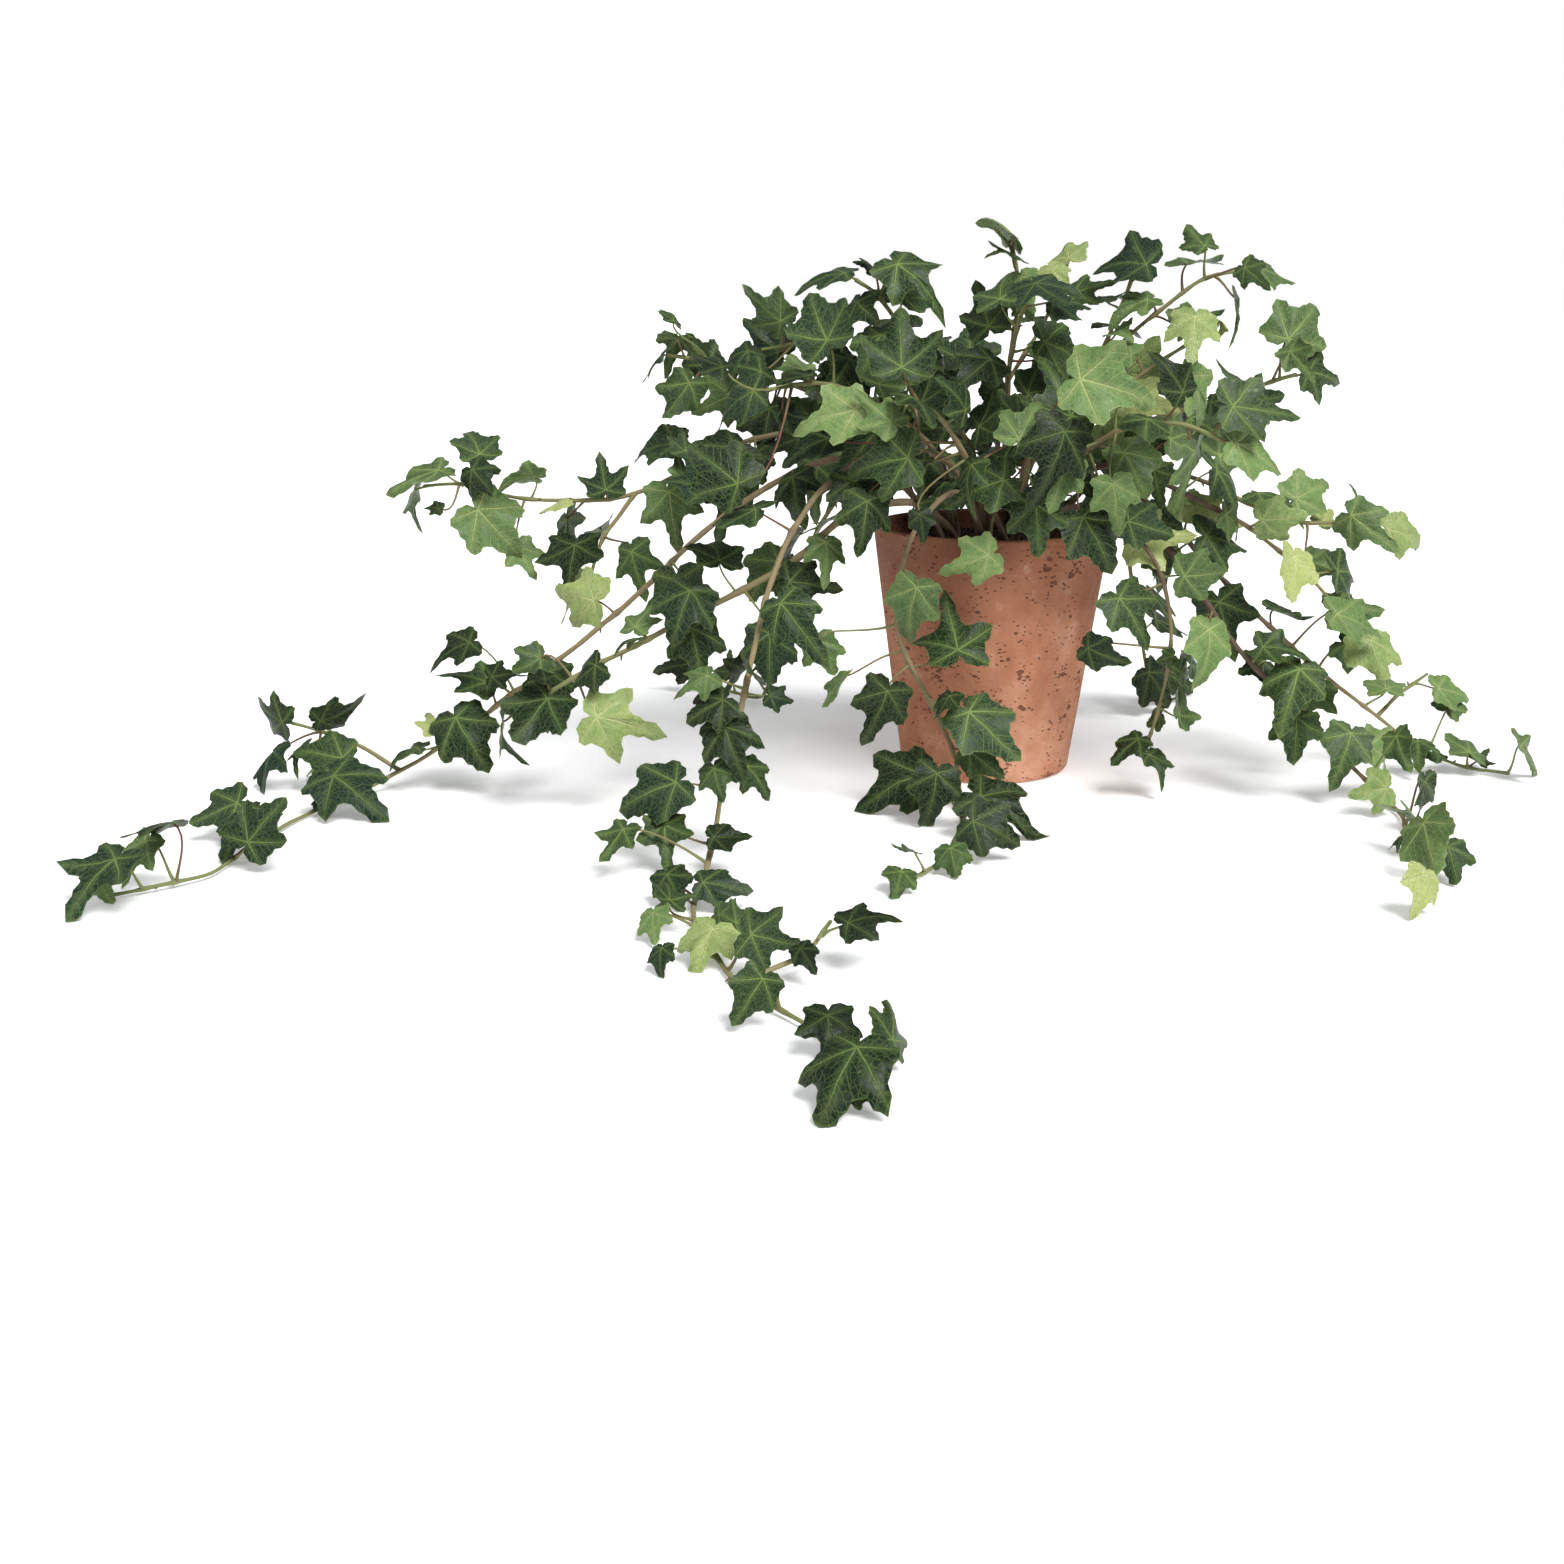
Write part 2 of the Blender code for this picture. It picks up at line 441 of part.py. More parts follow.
def skinned(rings):
    """The corners and faces of one closed body through rings of points."""
    corners = [point for ring in rings for point in ring]
    numbers = iter(range(len(corners)))
    loops = [[next(numbers) for _ in ring] for ring in rings]
    faces = [face for low, high in zip(loops, loops[1:]) for face in bridged(low, high)]
    faces += [tuple(loop) for loop in (loops[0], loops[-1]) if len(loop) > 1]
    return corners, faces


def guard(rings):
    """The space that a body takes up, as its middle, its reach and a tree to test."""
    corners, faces = skinned(rings)
    middle = sum(corners, Vector()) / len(corners)
    reach = max((corner - middle).length for corner in corners)
    return middle, reach, BVHTree.FromPolygons(corners, faces)


def leaf_rings(leaf):
    """One leaf as a closed body: its stalk, the blade's underside and its face."""
    turns = [math.tau * k / STALK_SIDES for k in range(STALK_SIDES)]
    size = STALK_RADIUS / leaf.length
    neck = [blade_point(leaf, size * math.sin(a), size * math.cos(a), -BLADE_THICKNESS / 2)
            for a in turns]
    reach = leaf.base - leaf.foot
    crown = blade_point(leaf, 0, BLADE_MIDDLE, BLADE_THICKNESS / 2)
    return [[point - reach for point in neck], neck, blade_rim(leaf), [crown]]


def leaf_guards(leaf):
    """Guards round a blade and round its stalk, from just outside the stem."""
    lift = BLADE_THICKNESS / 2 + GUARD
    top = blade_rim(leaf, GUARD_WIDER, lift)
    bottom = blade_rim(leaf, GUARD_WIDER, -lift)
    blade = [[blade_point(leaf, 0, BLADE_MIDDLE, lift)], top, bottom,
             [blade_point(leaf, 0, BLADE_MIDDLE, -lift)]]
    clear = leaf.foot + (leaf.base - leaf.foot).normalized() * STALK_CLEAR
    stalk = tube([clear, leaf.base], [STALK_RADIUS + GUARD] * 2, STALK_SIDES)
    return [guard(blade), guard(stalk)]


def held_from_behind(leaf):
    """Whether a leaf's stalk comes to it from behind its face, clear of its blade."""
    stalk = leaf.base - leaf.foot
    return stalk.dot(leaf.face) > 0.2 * stalk.length


def free(guards, taken):
    for middle, reach, tree in guards:
        for other_middle, other_reach, other_tree in taken:
            near = (middle - other_middle).length < reach + other_reach
            if near and tree.overlap(other_tree):
                return False
    return True


def some_way(rng):
    return Vector((rng.uniform(-1, 1), rng.uniform(-1, 1), rng.uniform(-1, 1)))


def posed_leaf(rng, point, ahead, side, length, spread):
    """A leaf on a stem at point: side is +1 or -1, or 0 for the one at the tip."""
    outward = point - HEART
    outward.z = max(outward.z, 0.2 * outward.length)
    outward.normalize()
    face = (LIGHT + 0.55 * outward + 0.72 * spread * some_way(rng)).normalized()
    beside = ahead.cross(face).normalized() * side
    way = 0.9 * beside + 0.35 * ahead + 0.3 * spread * some_way(rng)
    way = (way - face * way.dot(face) + STALK_RISE * face).normalized()
    along = 0.6 * beside + (0.45 + 0.6 * (side == 0)) * ahead + 0.35 * outward - 0.5 * UP
    along += 0.8 * spread * some_way(rng)
    along = (along - face * along.dot(face)).normalized()
    reach = length * rng.uniform(0.40, 0.75)
    if side == 0:
        reach = length * 0.25
        way = (ahead - face * ahead.dot(face) + STALK_RISE * face).normalized()
    base = point + way * reach
    leaf = Leaf(point, base, along.cross(face), along, face, length)
    lowest = min(corner.z for corner in [base, *blade_rim(leaf, GUARD_WIDER)])
    base.z += max(0.0, BLADE_THICKNESS / 2 + GUARD + FIT - lowest)
    return leaf


def nearest_on(lines, point):
    """The place on any of a vine's stems that is nearest to a point."""
    best = None
    for line in lines:
        for a, b in zip(line, line[1:]):
            share = min(1.0, max(0.0, (point - a).dot(b - a) / (b - a).length_squared))
            place = a + (b - a) * share
            if best is None or (point - place).length < (point - best).length:
                best = place
    return best


def held_leaf(rng, lines, held, slack):
    """A leaf at its own place, moved and turned a little more as the slack grows."""
    base = fitted(held.x, held.y, held.z) + slack * 0.006 * some_way(rng)
    foot = nearest_on(lines, base)
    if held.z < 0.020:
        rise = math.radians(64)
    else:
        rise = math.radians(25 if base.z < foot.z - 0.004 else 50)
    upward = Vector((0.0, math.sin(rise), math.cos(rise)))
    face = Vector((0.0, -math.cos(rise), math.sin(rise)))
    turn = math.radians(held.turn + 35 * slack * rng.uniform(-1, 1))
    along = (Vector((math.sin(turn), 0.0, 0.0)) + upward * math.cos(turn)).normalized()
    lean = math.radians(held.lean + 35 * slack * rng.uniform(-1, 1))
    face = (Quaternion(along, lean) @ face).normalized()
    for _ in range(3):
        reach = base - foot
        base += face * max(0.0, 0.35 * max(reach.length, 0.008) - reach.dot(face))
    leaf = Leaf(foot, base, along.cross(face), along, face, held.length * LEAF_SCALE)
    lowest = min(corner.z for corner in [base, *blade_rim(leaf, GUARD_WIDER)])
    base.z += max(0.0, BLADE_THICKNESS / 2 + GUARD + FIT - lowest)
    return leaf


def held_leaves(rng, curves, places, taken):
    leaves = []
    for place in places:
        for attempt in range(2 * ATTEMPTS):
            size = place.length * 0.985 ** attempt
            held = place._replace(length=size)
            leaf = held_leaf(rng, [line[2:-1] for line, _ in curves], held, attempt / ATTEMPTS)
            guards = leaf_guards(leaf)
            if held_from_behind(leaf) and free(guards, taken):
                taken += guards
                leaves.append(leaf)
                break
    return leaves


def places_along(line, first, gap):
    """Where leaves sit on a stem: each point, the stem's direction and the share of its length."""
    steps = [(b - a).length for a, b in zip(line, line[1:])]
    total = sum(steps)
    distances = [first + gap * i for i in range(int((total - 0.4 * gap - first) / gap) + 1)]
    places = []
    for distance in [*distances, total - STALK_RADIUS]:
        i = 0
        rest = distance
        while rest > steps[i]:
            rest -= steps[i]
            i += 1
        ahead = (line[i + 1] - line[i]).normalized()
        places.append((line[i] + ahead * rest, ahead, distance / total))
    return places


def grown_leaves(rng, vine, curves, taken):
    """The leaves along a vine's stems, left and right by turns, each where it is free."""
    first, gap, large, small = vine.leaves
    leaves = []
    for number, (line, _) in enumerate(curves):
        places = places_along(line, gap if number else first, gap)
        for i, (point, ahead, share) in enumerate(places):
            if number:
                share = (1 + share) / 2
            length = (large + (small - large) * share) * rng.uniform(0.86, 1.12) * LEAF_SCALE
            at_tip = i == len(places) - 1
            side = 0 if at_tip else (-1) ** i
            leaf = first_free(rng, point, ahead, side, length, taken)
            if leaf:
                leaves.append(leaf)
    return leaves


def first_free(rng, point, ahead, side, length, taken):
    for attempt in range(ATTEMPTS):
        spread = 1.0 + 0.15 * attempt
        size = length * 0.955 ** attempt
        leaf = posed_leaf(rng, point, ahead, side, size, spread)
        guards = leaf_guards(leaf)
        if held_from_behind(leaf) and free(guards, taken):
            taken += guards
            return leaf
    return None


def turned(profile, sides):
    """Rings of a turned body through (radius, height) points; radius 0 is its middle."""
    rings = []
    for radius, height in profile:
        turns = [math.tau * k / sides for k in range(sides if radius else 1)]
        rings.append([Vector((radius * math.cos(a), radius * math.sin(a), height))
                      for a in turns])
    return rings


def stem_guards(line, radii):
    """Guards along a stem, a few rings at a time."""
    guards = []
    for i in range(0, len(line) - 1, 3):
        wide = [radius + GUARD for radius in radii[i:i + 4]]
        guards.append(guard(tube(line[i:i + 4], wide, STEM_SIDES)))
    return guards


pot_space = turned([(0, -GUARD), (POT_BASE_RADIUS + 2 * GUARD, -GUARD),
                    (POT_RIM_RADIUS + 2 * GUARD, POT_HEIGHT + GUARD),
                    (0, SOIL_EDGE + SOIL_CROWN)], POT_SIDES)
vine_curves = {name: stem_curves(vine) for name, vine in VINES.items()}
taken = [guard(pot_space)]
for curves in vine_curves.values():
    for line, radii in curves:
        taken += stem_guards(line, radii)
rng = random.Random(SEED)
vine_leaves = {}
for name, curves in vine_curves.items():
    places = [Held(*numbers) for numbers in HELD.get(name, ())]
    vine_leaves[name] = held_leaves(rng, curves, places, taken)
for name, vine in VINES.items():
    vine_leaves[name] += grown_leaves(rng, vine, vine_curves[name], taken)

# ---- Building the pieces ---------------------------------------------------------------

for thing in list(bpy.data.objects):
    bpy.data.objects.remove(thing)


def finish_colour(name, colour, roughness):
    material = bpy.data.materials.new(name)
    material.use_nodes = True
    shader = material.node_tree.nodes["Principled BSDF"]
    shader.inputs["Base Color"].default_value = (*colour, 1.0)
    shader.inputs["Roughness"].default_value = roughness
    shader.inputs["Metallic"].default_value = 0.0
    return material


def body(name, shapes, material):
    """One object from closed shapes, each a list of rings."""
    form = bmesh.new()
    for rings in shapes:
        corners, faces = skinned(rings)
        made = [form.verts.new(corner) for corner in corners]
        for face in faces:
            form.faces.new([made[i] for i in face])
    bmesh.ops.recalc_face_normals(form, faces=form.faces)
    mesh = bpy.data.meshes.new(name)
    form.to_mesh(mesh)
    form.free()
    mesh.shade_smooth()
    mesh.set_sharp_from_angle(angle=math.radians(40))
    mesh.materials.append(material)
    thing = bpy.data.objects.new(name, mesh)
    bpy.context.scene.collection.objects.link(thing)
    return thing


def combine(thing, tool, operation):
    """Join a hidden tool body to a thing, or cut it out."""
    tool.hide_render = True
    tool.display_type = "WIRE"
    change = thing.modifiers.new(tool.name, "BOOLEAN")
    change.operation = operation
    change.object = tool
    change.solver = "EXACT"
    change.use_self = operation == "UNION"


def rounded(centre, size, start, end, steps=3):
    """Points of a rounded edge in a profile, from one angle to another in degrees."""
    turns = [math.radians(start + (end - start) * i / steps) for i in range(steps + 1)]
    return [(centre[0] + size * math.cos(a), centre[1] + size * math.sin(a)) for a in turns]


terracotta = finish_colour("terracotta", (0.60, 0.27, 0.17), 0.85)
inner_floor_radius = outer_radius(POT_FLOOR) - POT_WALL
pot_profile = [
    (0, 0),
    *rounded((outer_radius(BASE_ROUND) - BASE_ROUND, BASE_ROUND), BASE_ROUND, -90, 0),
    *rounded((POT_RIM_RADIUS - RIM_ROUND, POT_HEIGHT - RIM_ROUND), RIM_ROUND, 0, 90),
    *rounded((POT_RIM_RADIUS - POT_WALL + RIM_ROUND, POT_HEIGHT - RIM_ROUND), RIM_ROUND, 90, 180),
    (inner_floor_radius, POT_FLOOR),
    (0, POT_FLOOR),
]
body("pot", [turned(pot_profile, POT_SIDES)], terracotta)

potting_soil = finish_colour("potting_soil", (0.045, 0.032, 0.024), 0.95)
inner_top_radius = POT_RIM_RADIUS - POT_WALL


def soil_wall(height):
    share = (height - POT_FLOOR) / (POT_HEIGHT - RIM_ROUND - POT_FLOOR)
    return inner_floor_radius + (inner_top_radius - inner_floor_radius) * share - 2 * FIT


soil_profile = [(0, POT_FLOOR + FIT), (soil_wall(POT_FLOOR + FIT), POT_FLOOR + FIT)]
soil_profile += [(soil_wall(SOIL_EDGE), SOIL_EDGE)]
soil_profile += [(radius, soil_height(radius, 0)) for radius in
                 (soil_wall(SOIL_EDGE) * share for share in (0.75, 0.45))]
soil_profile += [(0, soil_height(0, 0))]
soil = body("potting_soil", [turned(soil_profile, SOIL_SIDES)], potting_soil)
sockets = []
for curves in vine_curves.values():
    line, radii = curves[0]
    down = (line[0] - line[1]).normalized() * FIT
    root = [line[0] + down, *line[1:4]]
    sockets.append(tube(root, [radius + FIT for radius in radii[:4]], STEM_SIDES))
combine(soil, body("sockets", sockets, potting_soil), "DIFFERENCE")

ivy = finish_colour("ivy_leaf", (0.05, 0.14, 0.04), 0.45)
for name, curves in vine_curves.items():
    main, *forks = [tube(line, radii, STEM_SIDES) for line, radii in curves]
    growth = list(forks)
    growth += [leaf_rings(leaf) for leaf in vine_leaves[name]]
    vine_body = body(name, [main], ivy)
    combine(vine_body, body(name + "_growth", growth, ivy), "UNION")
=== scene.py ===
"""Potted ivy: the looks of a plain terracotta pot and the ivy that spills out of it.

Sizes are in metres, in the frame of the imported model. The origin is the middle of the pot's
underside, +Z is up and the front of the plant looks along -Y.
"""

import math
import random
from collections import namedtuple

import bmesh
import bpy
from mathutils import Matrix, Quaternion, Vector, noise
from mathutils.bvhtree import BVHTree


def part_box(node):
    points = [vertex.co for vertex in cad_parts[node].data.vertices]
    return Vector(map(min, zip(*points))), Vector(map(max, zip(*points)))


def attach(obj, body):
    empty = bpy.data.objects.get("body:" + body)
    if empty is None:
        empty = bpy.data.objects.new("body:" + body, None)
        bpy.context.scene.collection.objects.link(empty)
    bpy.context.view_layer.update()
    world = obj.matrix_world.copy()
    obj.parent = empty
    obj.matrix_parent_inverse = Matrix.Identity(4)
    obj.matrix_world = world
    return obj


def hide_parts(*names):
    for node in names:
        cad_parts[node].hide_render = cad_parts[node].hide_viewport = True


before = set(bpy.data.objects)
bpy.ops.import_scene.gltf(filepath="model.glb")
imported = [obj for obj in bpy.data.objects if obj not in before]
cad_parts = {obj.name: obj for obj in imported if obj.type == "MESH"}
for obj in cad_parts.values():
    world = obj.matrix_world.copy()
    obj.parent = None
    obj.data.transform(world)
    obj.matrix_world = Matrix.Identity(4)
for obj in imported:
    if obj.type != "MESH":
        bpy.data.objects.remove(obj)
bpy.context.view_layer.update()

# ---- The studio ------------------------------------------------------------------------
# The plant stands on a plain white floor in a bright room. One soft light comes from over
# its right front, a weaker one fills from the left, and the room itself gives the rest.

scene = bpy.context.scene
scene.view_settings.view_transform = "Standard"
room = bpy.data.worlds.new("bright_room")
room.use_nodes = True
walls = room.node_tree.nodes["Background"]
walls.inputs["Color"].default_value = (0.93, 0.97, 1.0, 1.0)
walls.inputs["Strength"].default_value = 0.30
seen = room.node_tree.nodes.new("ShaderNodeBackground")
seen.inputs["Color"].default_value = (1.0, 1.0, 1.0, 1.0)
either = room.node_tree.nodes.new("ShaderNodeMixShader")
direct = room.node_tree.nodes.new("ShaderNodeLightPath")
room.node_tree.links.new(direct.outputs["Is Camera Ray"], either.inputs["Fac"])
room.node_tree.links.new(walls.outputs[0], either.inputs[1])
room.node_tree.links.new(seen.outputs[0], either.inputs[2])
room.node_tree.links.new(either.outputs[0], room.node_tree.nodes["World Output"].inputs[0])
scene.world = room


def soft_light(name, place, power, spread):
    """Even light from the direction of a place, soft by its spread in radians."""
    bpy.ops.object.light_add(type="SUN", location=place)
    light = bpy.context.object
    light.name = name
    light.rotation_euler = Vector(place).to_track_quat("Z", "Y").to_euler()
    light.data.energy = power
    light.data.angle = spread


soft_light("key_light", (0.80, -1.05, 1.85), 3.8, 0.55)
soft_light("side_light", (-1.4, -0.9, 1.5), 0.6, 0.60)

bpy.ops.object.camera_add(location=(-0.1355, -1.15, 0.32),
                          rotation=(math.radians(90 - 16.2), 0, 0))
camera = bpy.context.object
camera.data.sensor_width = 36
camera.data.lens = 40.9
scene.camera = camera


class Wire:
    """A value that changes over a surface. Sums on it become Math nodes."""

    def __init__(self, finish, socket):
        self.finish = finish
        self.socket = socket

    def maths(self, operation, *values):
        sockets = dict(enumerate(values))
        return self.finish.node("Math", {"operation": operation}, sockets)

    def __add__(self, other):
        return self.maths("ADD", self, other)

    def __sub__(self, other):
        return self.maths("SUBTRACT", self, other)

    def __rsub__(self, other):
        return self.maths("SUBTRACT", other, self)

    def __mul__(self, other):
        return self.maths("MULTIPLY", self, other)

    def __truediv__(self, other):
        return self.maths("DIVIDE", self, other)

    def __abs__(self):
        return self.maths("ABSOLUTE", self)

    __radd__ = __add__
    __rmul__ = __mul__

    def least(self, other):
        return self.maths("MINIMUM", self, other)

    def most(self, other):
        return self.maths("MAXIMUM", self, other)

    def below(self, other):
        return self.maths("LESS_THAN", self, other)

    def fraction(self):
        return self.maths("FRACT", self)

    def between(self, low, high):
        """0 up to low, 1 from high on and smooth between them."""
        settings = {"interpolation_type": "SMOOTHSTEP"}
        sockets = {"Value": self, "From Min": low, "From Max": high}
        return self.finish.node("MapRange", settings, sockets)


class Finish:
    """A material of one shader, whose changing values are built from nodes."""

    def __init__(self, name, **values):
        self.material = bpy.data.materials.new(name)
        self.material.use_nodes = True
        self.tree = self.material.node_tree
        self.shader = self.tree.nodes["Principled BSDF"]
        for socket, value in values.items():
            self.shader.inputs[socket.replace("_", " ")].default_value = value

    def node(self, kind, settings, sockets, output=0):
        made = self.tree.nodes.new("ShaderNode" + kind)
        for name, value in settings.items():
            if name == "stops":
                stops = made.color_ramp.elements
                while len(stops) < len(value):
                    stops.new(1.0)
                for stop, (place, colour) in zip(stops, value):
                    stop.position = place
                    stop.color = (*colour, 1.0)
            else:
                setattr(made, name, value)
        for name, value in sockets.items():
            if isinstance(value, Wire):
                self.tree.links.new(value.socket, made.inputs[name])
            else:
                made.inputs[name].default_value = value
        return Wire(self, made.outputs[output])

    def place(self):
        return self.node("TexCoord", {}, {}, "Object")

    def part(self, value, name):
        """One part of a place, X, Y or Z, or of a colour, Red, Green or Blue."""
        kind = "SeparateXYZ" if name in ("X", "Y", "Z") else "SeparateColor"
        return self.node(kind, {}, {0: value}, name)

    def cloud(self, where, size, detail=3.0, rough=0.5):
        """Soft noise whose patches are about one size across."""
        sockets = {"Vector": where, "Scale": 1 / size, "Detail": detail, "Roughness": rough}
        return self.node("TexNoise", {}, sockets)

    def specks(self, where, size):
        """How far the nearest of many scattered points is, in shares of their distance."""
        return self.node("TexVoronoi", {}, {"Vector": where, "Scale": 1 / size})

    def ramp(self, value, *stops):
        return self.node("ValToRGB", {"stops": stops}, {0: value})

    def blend(self, share, first, second):
        """The first colour where the share is 0 and the second where it is 1."""
        colours = {6: first, 7: second}
        for place, colour in colours.items():
            if not isinstance(colour, Wire):
                colours[place] = (*colour, 1.0)
        return self.node("Mix", {"data_type": "RGBA"}, {0: share, **colours}, 2)

    def bumped(self, height, depth, strength=1.0):
        """The shader's normal from a height of 0 to 1 that stands for one depth."""
        sockets = {"Height": height, "Distance": depth, "Strength": strength}
        self.tree.links.new(self.node("Bump", {}, sockets).socket, self.shader.inputs["Normal"])

    def feed(self, socket, value):
        self.tree.links.new(value.socket, self.shader.inputs[socket])


floor_finish = Finish("white_floor", Roughness=0.9, Emission_Color=(1, 1, 1, 1),
                      Emission_Strength=0.22)
floor_place = floor_finish.place()
floor_cloud = floor_finish.cloud(floor_place, 0.4)
floor_finish.feed("Base Color", floor_finish.ramp(floor_cloud, (0.0, (0.93, 0.93, 0.93)),
                                                  (1.0, (0.95, 0.95, 0.95))))
bpy.ops.mesh.primitive_plane_add(size=24, location=(0, 0, -0.0003))
floor = bpy.context.object
floor.name = "floor"
floor.data.materials.append(floor_finish.material)

# ---- The pot ---------------------------------------------------------------------------
# A plain tapered pot of fired terracotta, thrown on a wheel and left unglazed. Its clay is
# salmon orange with small pits and pale bloom. Painted shade darkens it near the rim and on
# its left side, where the leaves shade it, and the pits are painted dark with their shade.

def pick(kind, test):
    """Select in edit mode only the faces or edges whose middle passes a test."""
    bpy.ops.mesh.select_mode(type={"faces": "FACE", "edges": "EDGE"}[kind])
    bpy.ops.mesh.select_all(action="DESELECT")
    form = bmesh.from_edit_mesh(bpy.context.edit_object.data)
    for piece in getattr(form, kind):
        corners = [corner.co for corner in piece.verts]
        if test(sum(corners, Vector()) / len(corners)):
            piece.select_set(True)
    bmesh.update_edit_mesh(bpy.context.edit_object.data)


def take(piece):
    """Select one piece alone, to work on it."""
    bpy.ops.object.select_all(action="DESELECT")
    piece.select_set(True)
    bpy.context.view_layer.objects.active = piece


def settled(piece, name, node, slot, *finishes):
    """Name a finished piece, put its place in its mesh and tell the frame about it."""
    take(piece)
    bpy.ops.object.transform_apply(location=True, rotation=True, scale=True)
    piece.name = name
    for finish in finishes:
        piece.data.materials.append(finish.material)
    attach(piece, "root")
    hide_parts(node)


pot_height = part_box("pot")[1].z
rim_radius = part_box("pot")[1].x
foot_radius = 0.0550
wall = 0.0070
pot_floor = 0.0100
floor_taper = 0.0013        # how far the pot widens from its foot to its floor
lip_round = 0.0022
foot_round = 0.0030

bpy.ops.object.select_all(action="DESELECT")
bpy.ops.mesh.primitive_cone_add(vertices=160, radius1=foot_radius, radius2=rim_radius,
                                depth=pot_height, location=(0, 0, pot_height / 2))
pot = bpy.context.object
bpy.ops.object.transform_apply(location=True)
bpy.ops.object.mode_set(mode="EDIT")
pick("faces", lambda middle: middle.z > pot_height - 0.001)
bpy.ops.mesh.inset(thickness=wall)
bpy.ops.mesh.extrude_region_move(TRANSFORM_OT_translate={"value": (0, 0, pot_floor - pot_height)})
narrow = (foot_radius - wall + floor_taper) / (rim_radius - wall)
bpy.ops.transform.resize(value=(narrow, narrow, 1), center_override=(0, 0, pot_floor))
pick("edges", lambda middle: middle.z > pot_height - 0.001
     and math.hypot(middle.x, middle.y) > rim_radius - wall - 0.001)
bpy.ops.mesh.bevel(offset=lip_round, segments=5, affect="EDGES")
pick("edges", lambda middle: middle.z < 0.001 and math.hypot(middle.x, middle.y) > 0.05)
bpy.ops.mesh.bevel(offset=foot_round, segments=4, affect="EDGES")
bpy.ops.object.mode_set(mode="OBJECT")
bpy.ops.object.shade_smooth_by_angle(angle=math.radians(35))

terracotta = Finish("terracotta", Specular_IOR_Level=0.25)
spot = terracotta.place()
height_up = terracotta.part(spot, "Z")
across_pot = terracotta.part(spot, "X")
broad = terracotta.cloud(spot, 0.085, 4.0, 0.60)
patches = terracotta.cloud(spot, 0.020, 5.0, 0.66)
grain = terracotta.cloud(spot, 0.0015, 3.0, 0.7)
clay = terracotta.ramp(broad * 0.6 + patches * 0.4, (0.32, (0.320, 0.120, 0.062)),
                       (0.50, (0.470, 0.205, 0.118)), (0.66, (0.600, 0.320, 0.205)))
# Painted shade: the clay is darkened near the rim and towards the left, where the leaves shade the
# pot; its roughness is lowered there too.
painted_shade = (height_up + (patches - 0.5) * 0.06 - across_pot * 0.55).between(0.095, 0.185)
clay = terracotta.blend(painted_shade * 0.72, clay, (0.190, 0.064, 0.032))
bloom = terracotta.cloud(spot, 0.011, 5.0, 0.70).between(0.56, 0.72)
clay = terracotta.blend(bloom * 0.30, clay, (0.680, 0.470, 0.350))
clay = terracotta.blend(grain.between(0.50, 0.72) * 0.30, clay, (0.270, 0.105, 0.060))
flat_spot = terracotta.node("VectorMath", {"operation": "MULTIPLY"},
                            {0: spot, 1: (1.0, 1.0, 1.9)})
wander = terracotta.cloud(spot, 0.0035, 2.0)
pit_size = terracotta.cloud(spot, 0.016, 2.0)
small_pits = (terracotta.specks(flat_spot, 0.0040) + (wander - 0.5) * 0.5
              + (0.515 - pit_size) * 1.1).between(0.22, 0.09)
large_pits = (terracotta.specks(flat_spot, 0.0110) + (wander - 0.5) * 0.4
              + (0.55 - pit_size) * 0.9).between(0.17, 0.09)
pits = small_pits.most(large_pits)
# The pits are painted dark: painted shade in their hollows.
clay = terracotta.blend(pits * 0.80, clay, (0.120, 0.036, 0.022))
terracotta.feed("Base Color", clay)
terracotta.feed("Roughness", 0.86 - painted_shade * 0.12 + grain * 0.08)
lathe = terracotta.node("TexWave", {"wave_type": "BANDS", "bands_direction": "Z"},
                        {"Vector": spot, "Scale": 46.0, "Distortion": 1.2, "Detail": 2.0})
terracotta.bumped(grain * 0.45 + patches * 0.7 + lathe * 0.10 - pits * 1.2, 0.0008, 0.9)
settled(pot, "terracotta_pot", "pot", "terracotta", terracotta)

# ---- The potting soil ------------------------------------------------------------------
# Dark crumbly peat fills the pot to a thumb's width below its rim. It is a little higher
# in the middle, where the stems come up, and loose crumbs and bark chips lie on it.

soil_low, soil_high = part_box("potting_soil")
soil_radius = soil_high.x
soil_edge = 0.148           # height of the soil at the wall
soil_crown = 0.0030         # and how much higher it is in the middle
soil_foot = 0.0493          # its radius on the pot's floor
soil_rings = 15
soil_reach = foot_radius + (rim_radius - foot_radius) * soil_edge / pot_height - wall
bpy.ops.object.select_all(action="DESELECT")
bpy.ops.mesh.primitive_cone_add(vertices=72, radius1=soil_foot, radius2=soil_radius,
                                depth=soil_edge - soil_low.z,
                                location=(0, 0, (soil_edge + soil_low.z) / 2))
soil = bpy.context.object
bpy.ops.object.transform_apply(location=True)
bpy.ops.object.mode_set(mode="EDIT")
pick("faces", lambda middle: middle.z > soil_edge - 0.001)
for _ in range(soil_rings - 1):
    bpy.ops.mesh.inset(thickness=soil_radius / soil_rings)
bpy.ops.mesh.poke()
bpy.ops.object.mode_set(mode="OBJECT")
for corner in soil.data.vertices:
    if corner.co.z > soil_edge - 0.001:
        share = min(1.0, math.hypot(corner.co.x, corner.co.y) / soil_radius)
        lumps = noise.fractal(corner.co * 160, 0.9, 2.1, 4) * 0.0016 * (1 - share ** 8)
        corner.co.z = soil_edge + soil_crown * (1 - share * share) - 0.0006 + lumps
bpy.ops.object.shade_smooth_by_angle(angle=math.radians(60))

